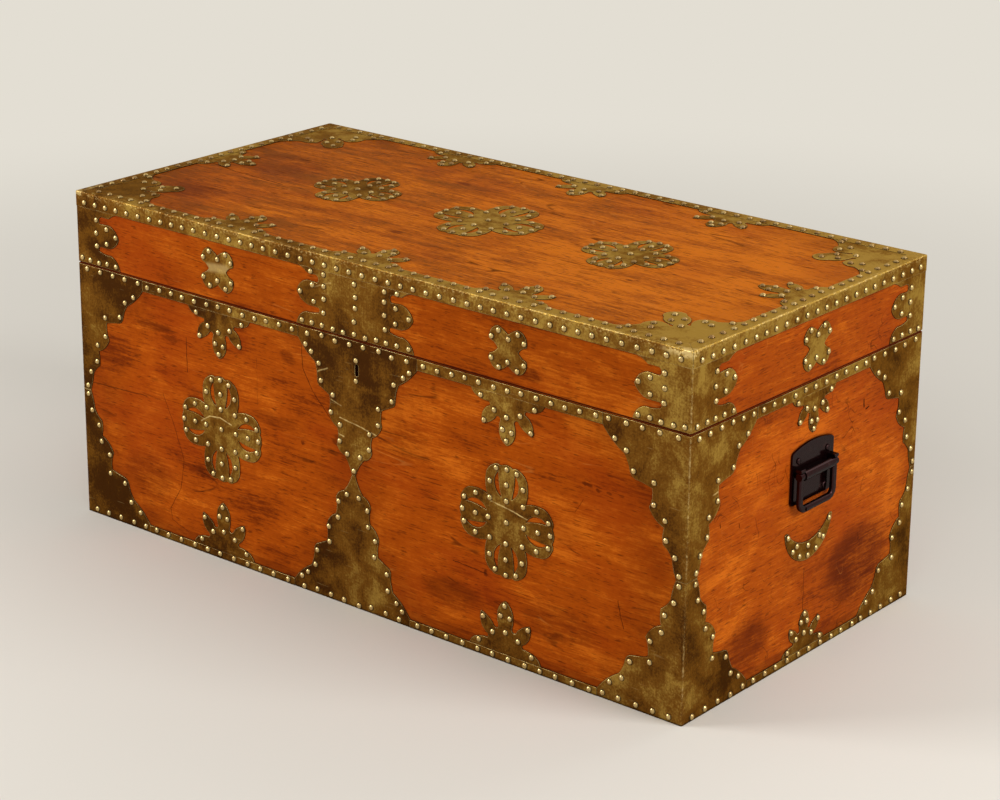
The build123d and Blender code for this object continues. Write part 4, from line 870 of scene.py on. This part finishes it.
class CHEST_OT_boards(ChestOperator, bpy.types.Operator):
    """Polishes the hardwood boards of the box and the lid and leaves the bottom planks sawn"""
    bl_idname = "chest.boards"
    bl_label = "Wooden Boards"

    def execute(self, context):
        finishes = {
            ("front_board", "back_board"): polished_hardwood(
                "french_polished_box_board", "x", BOX_CRACKS_AND_KEYHOLE_SHADE, BOX_STAINS),
            ("left_end_board", "right_end_board"): polished_hardwood(
                "french_polished_box_end", "y", END_CRACKS, END_STAINS, age=0.06),
            ("lid_front_rail", "lid_back_rail"): polished_hardwood(
                "french_polished_lid_rail", "x", stains=LID_STAINS, age=0.04),
            ("lid_left_rail", "lid_right_rail"): polished_hardwood(
                "french_polished_lid_end", "y", age=0.1),
            ("lid_top_board",): polished_hardwood(
                "french_polished_lid_top", "x", TOP_CRACKS, TOP_STAINS, sunned_and_lit=0.5, sheen=0.003)}
        for nodes, finish in finishes.items():
            for node in nodes:
                soften(dress(node, finish), 0.5 * MM, angle=30)
        dress("bottom_boards", sawn_deal())
        return {"FINISHED"}


class CHEST_OT_plates(ChestOperator, bpy.types.Operator):
    """Ages the scalloped plates, rosettes, leaf plates and edge strips of sheet brass"""
    bl_idname = "chest.plates"
    bl_label = "Sheet Brass"

    def execute(self, context):
        brass = context.scene.chest_brass
        plain = patinated_sheet_brass("patinated_sheet_brass", 38.0, 0.03, PLATE_CREASE_HIGHLIGHTS)
        dull = patinated_sheet_brass("patinated_lock_brass", 38.0, -0.07, PLATE_CREASE_HIGHLIGHTS)
        ornament = patinated_sheet_brass("patinated_ornament_brass", 22.0, 0.02, PLATE_CREASE_HIGHLIGHTS[:3])
        strip = patinated_sheet_brass("patinated_strip_brass", 30.0, 0.07, knocks=LID_KNOCKS)
        edge = rubbed_cut_edge()
        for node in sheet_nodes():
            material = plain
            if node == "lock_plate":
                material = dull
            elif "strips" in node:
                material = strip
            elif "rosette" in node or "leaf" in node or node in ("crescents", "lid_quatrefoils"):
                material = ornament
            soften(dress(node, material, edge), brass.rim, 1)
        return {"FINISHED"}


class CHEST_OT_nails(ChestOperator, bpy.types.Operator):
    """Makes the domed brass nails, each a little uneven, as a hand sets them"""
    bl_idname = "chest.nails"
    bl_label = "Domed Nails"

    def execute(self, context):
        brass = cast_nail_brass()
        for node, body in NAIL_NODES.items():
            mesh = nail_mesh(node)
            mesh.materials.append(brass)
            piece = bpy.data.objects.new(f"nails_{node}", mesh)
            context.scene.collection.objects.link(piece)
            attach(piece, body)
            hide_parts(node)
        return {"FINISHED"}


class CHEST_OT_handles(ChestOperator, bpy.types.Operator):
    """Blackens the iron handles and softens their edges"""
    bl_idname = "chest.handles"
    bl_label = "Iron Handles"

    def execute(self, context):
        iron = context.scene.chest_iron
        black = japanned_iron()
        for node in ("handle_plate_left", "handle_plate_right", "handle_bail_left", "handle_bail_right"):
            soften(dress(node, black), iron.rim, segments=3, angle=50)
        dress("handle_screws", japanned_iron("japanned_screw_iron"))
        return {"FINISHED"}


class CHEST_OT_fittings(ChestOperator, bpy.types.Operator):
    """Finishes the hinges, the lock and the screws"""
    bl_idname = "chest.fittings"
    bl_label = "Hinges and Lock"

    def execute(self, context):
        rolled = turned_metal("rolled_hinge_brass", "#A88948", "#6B5229", 0.42)
        steel = turned_metal("drawn_steel", "#8D8C88", "#5A544C", 0.38)
        for node in ("hinge_leaves_box", "hinge_leaves_lid", "lock_case", "lock_strike"):
            soften(dress(node, rolled), 0.25 * MM)
        for node in NODES:
            if node in ("hinge_pins", "lock_bolt") or "screws" in node and node != "handle_screws":
                dress(node, steel)
        return {"FINISHED"}


def make_floor(scene):
    mesh = bpy.data.meshes.new("studio_floor")
    corners = [(x * FLOOR_REACH, y * FLOOR_REACH, 0) for x, y in ((-1, -1), (1, -1), (1, 1), (-1, 1))]
    mesh.from_pydata(corners, [], [(0, 1, 2, 3)])
    mesh.materials.append(studio_floor_paint())
    floor = bpy.data.objects.new("studio_floor", mesh)
    scene.collection.objects.link(floor)


def make_surround(studio):
    """A bright surround for the eye, and an even, weaker light for the chest."""
    world = bpy.data.worlds.new("studio_surround")
    world.use_nodes = True
    tree = world.node_tree
    tree.nodes.clear()
    even = add(tree, "Background", {"Color": linear("#F4F0E8"), "Strength": studio.sky})
    bright = add(tree, "Background", {"Color": studio.surround, "Strength": 1.0})
    surround = add(tree, "MixShader", [seen_directly(tree), even, bright])
    add(tree, "OutputWorld", {"Surface": surround})
    return world


def make_lamp(scene, name, spot, size, strength):
    lamp = bpy.data.lights.new(f"{name}_light", "AREA")
    lamp.shape = "RECTANGLE"
    lamp.size, lamp.size_y = size
    lamp.energy = strength
    light = bpy.data.objects.new(f"{name}_light", lamp)
    light.location = spot
    light.rotation_mode = "QUATERNION"
    light.rotation_quaternion = (LAMP_AIM - Vector(spot)).to_track_quat("-Z", "Y")
    scene.collection.objects.link(light)


def make_camera(scene, lens):
    """A long lens at standing height, looking down at the front right corner."""
    azimuth, elevation, roll = (math.radians(angle) for angle in CAMERA_ANGLES)
    level = math.cos(elevation)
    back = Vector((math.sin(azimuth) * level, -math.cos(azimuth) * level, math.sin(elevation)))
    right = Vector((0, 0, 1)).cross(back).normalized()
    up = back.cross(right)
    rolled_right = right * math.cos(roll) + up * math.sin(roll)
    rolled_up = up * math.cos(roll) - right * math.sin(roll)
    data = bpy.data.cameras.new("camera")
    data.lens = lens
    data.sensor_width = 36.0
    data.shift_y = CAMERA_SHIFT
    data.clip_start = 0.05
    data.clip_end = 100.0
    camera = bpy.data.objects.new("camera", data)
    turn = Matrix((rolled_right, rolled_up, back)).transposed().to_4x4()
    camera.matrix_world = Matrix.Translation(CAMERA_PLACE) @ turn
    scene.collection.objects.link(camera)
    return camera


class CHEST_OT_studio(ChestOperator, bpy.types.Operator):
    """Sets the floor, the soft lights and the camera"""
    bl_idname = "chest.studio"
    bl_label = "Studio"

    def execute(self, context):
        scene = context.scene
        studio = scene.chest_studio
        make_floor(scene)
        scene.world = make_surround(studio)
        for name, spot, size, setting in LAMPS:
            make_lamp(scene, name, spot, size, getattr(studio, setting))
        scene.camera = make_camera(scene, studio.lens)
        scene.view_settings.view_transform = "Standard"
        return {"FINISHED"}


class CHEST_PT_panel(bpy.types.Panel):
    """Lists the steps of the chest in the sidebar"""
    bl_label = "Brass-Bound Chest"
    bl_idname = "CHEST_PT_panel"
    bl_space_type = "VIEW_3D"
    bl_region_type = "UI"
    bl_category = "Chest"

    def draw(self, context):
        layout = self.layout
        for name in ("chest_wood", "chest_brass", "chest_iron", "chest_studio"):
            group = getattr(context.scene, name)
            box = layout.box()
            for field in group.__annotations__:
                box.prop(group, field)
        for operator in OPERATORS:
            layout.operator(operator.bl_idname)


GROUPS = {
    "chest_wood": ChestWood, "chest_brass": ChestBrass, "chest_iron": ChestIron,
    "chest_studio": ChestStudio}
OPERATORS = (
    CHEST_OT_boards, CHEST_OT_plates, CHEST_OT_nails, CHEST_OT_handles, CHEST_OT_fittings,
    CHEST_OT_studio)


def register():
    for name, group in GROUPS.items():
        bpy.utils.register_class(group)
        setattr(bpy.types.Scene, name, PointerProperty(type=group))
    for operator in OPERATORS:
        bpy.utils.register_class(operator)
    bpy.utils.register_class(CHEST_PT_panel)


def unregister():
    bpy.utils.unregister_class(CHEST_PT_panel)
    for operator in reversed(OPERATORS):
        bpy.utils.unregister_class(operator)
    for name, group in reversed(list(GROUPS.items())):
        delattr(bpy.types.Scene, name)
        bpy.utils.unregister_class(group)


def main():
    register()
    bpy.ops.chest.boards()
    bpy.ops.chest.plates()
    bpy.ops.chest.nails()
    bpy.ops.chest.handles()
    bpy.ops.chest.fittings()
    bpy.ops.chest.studio()
    bpy.context.view_layer.update()


if __name__ == "__main__":
    main()
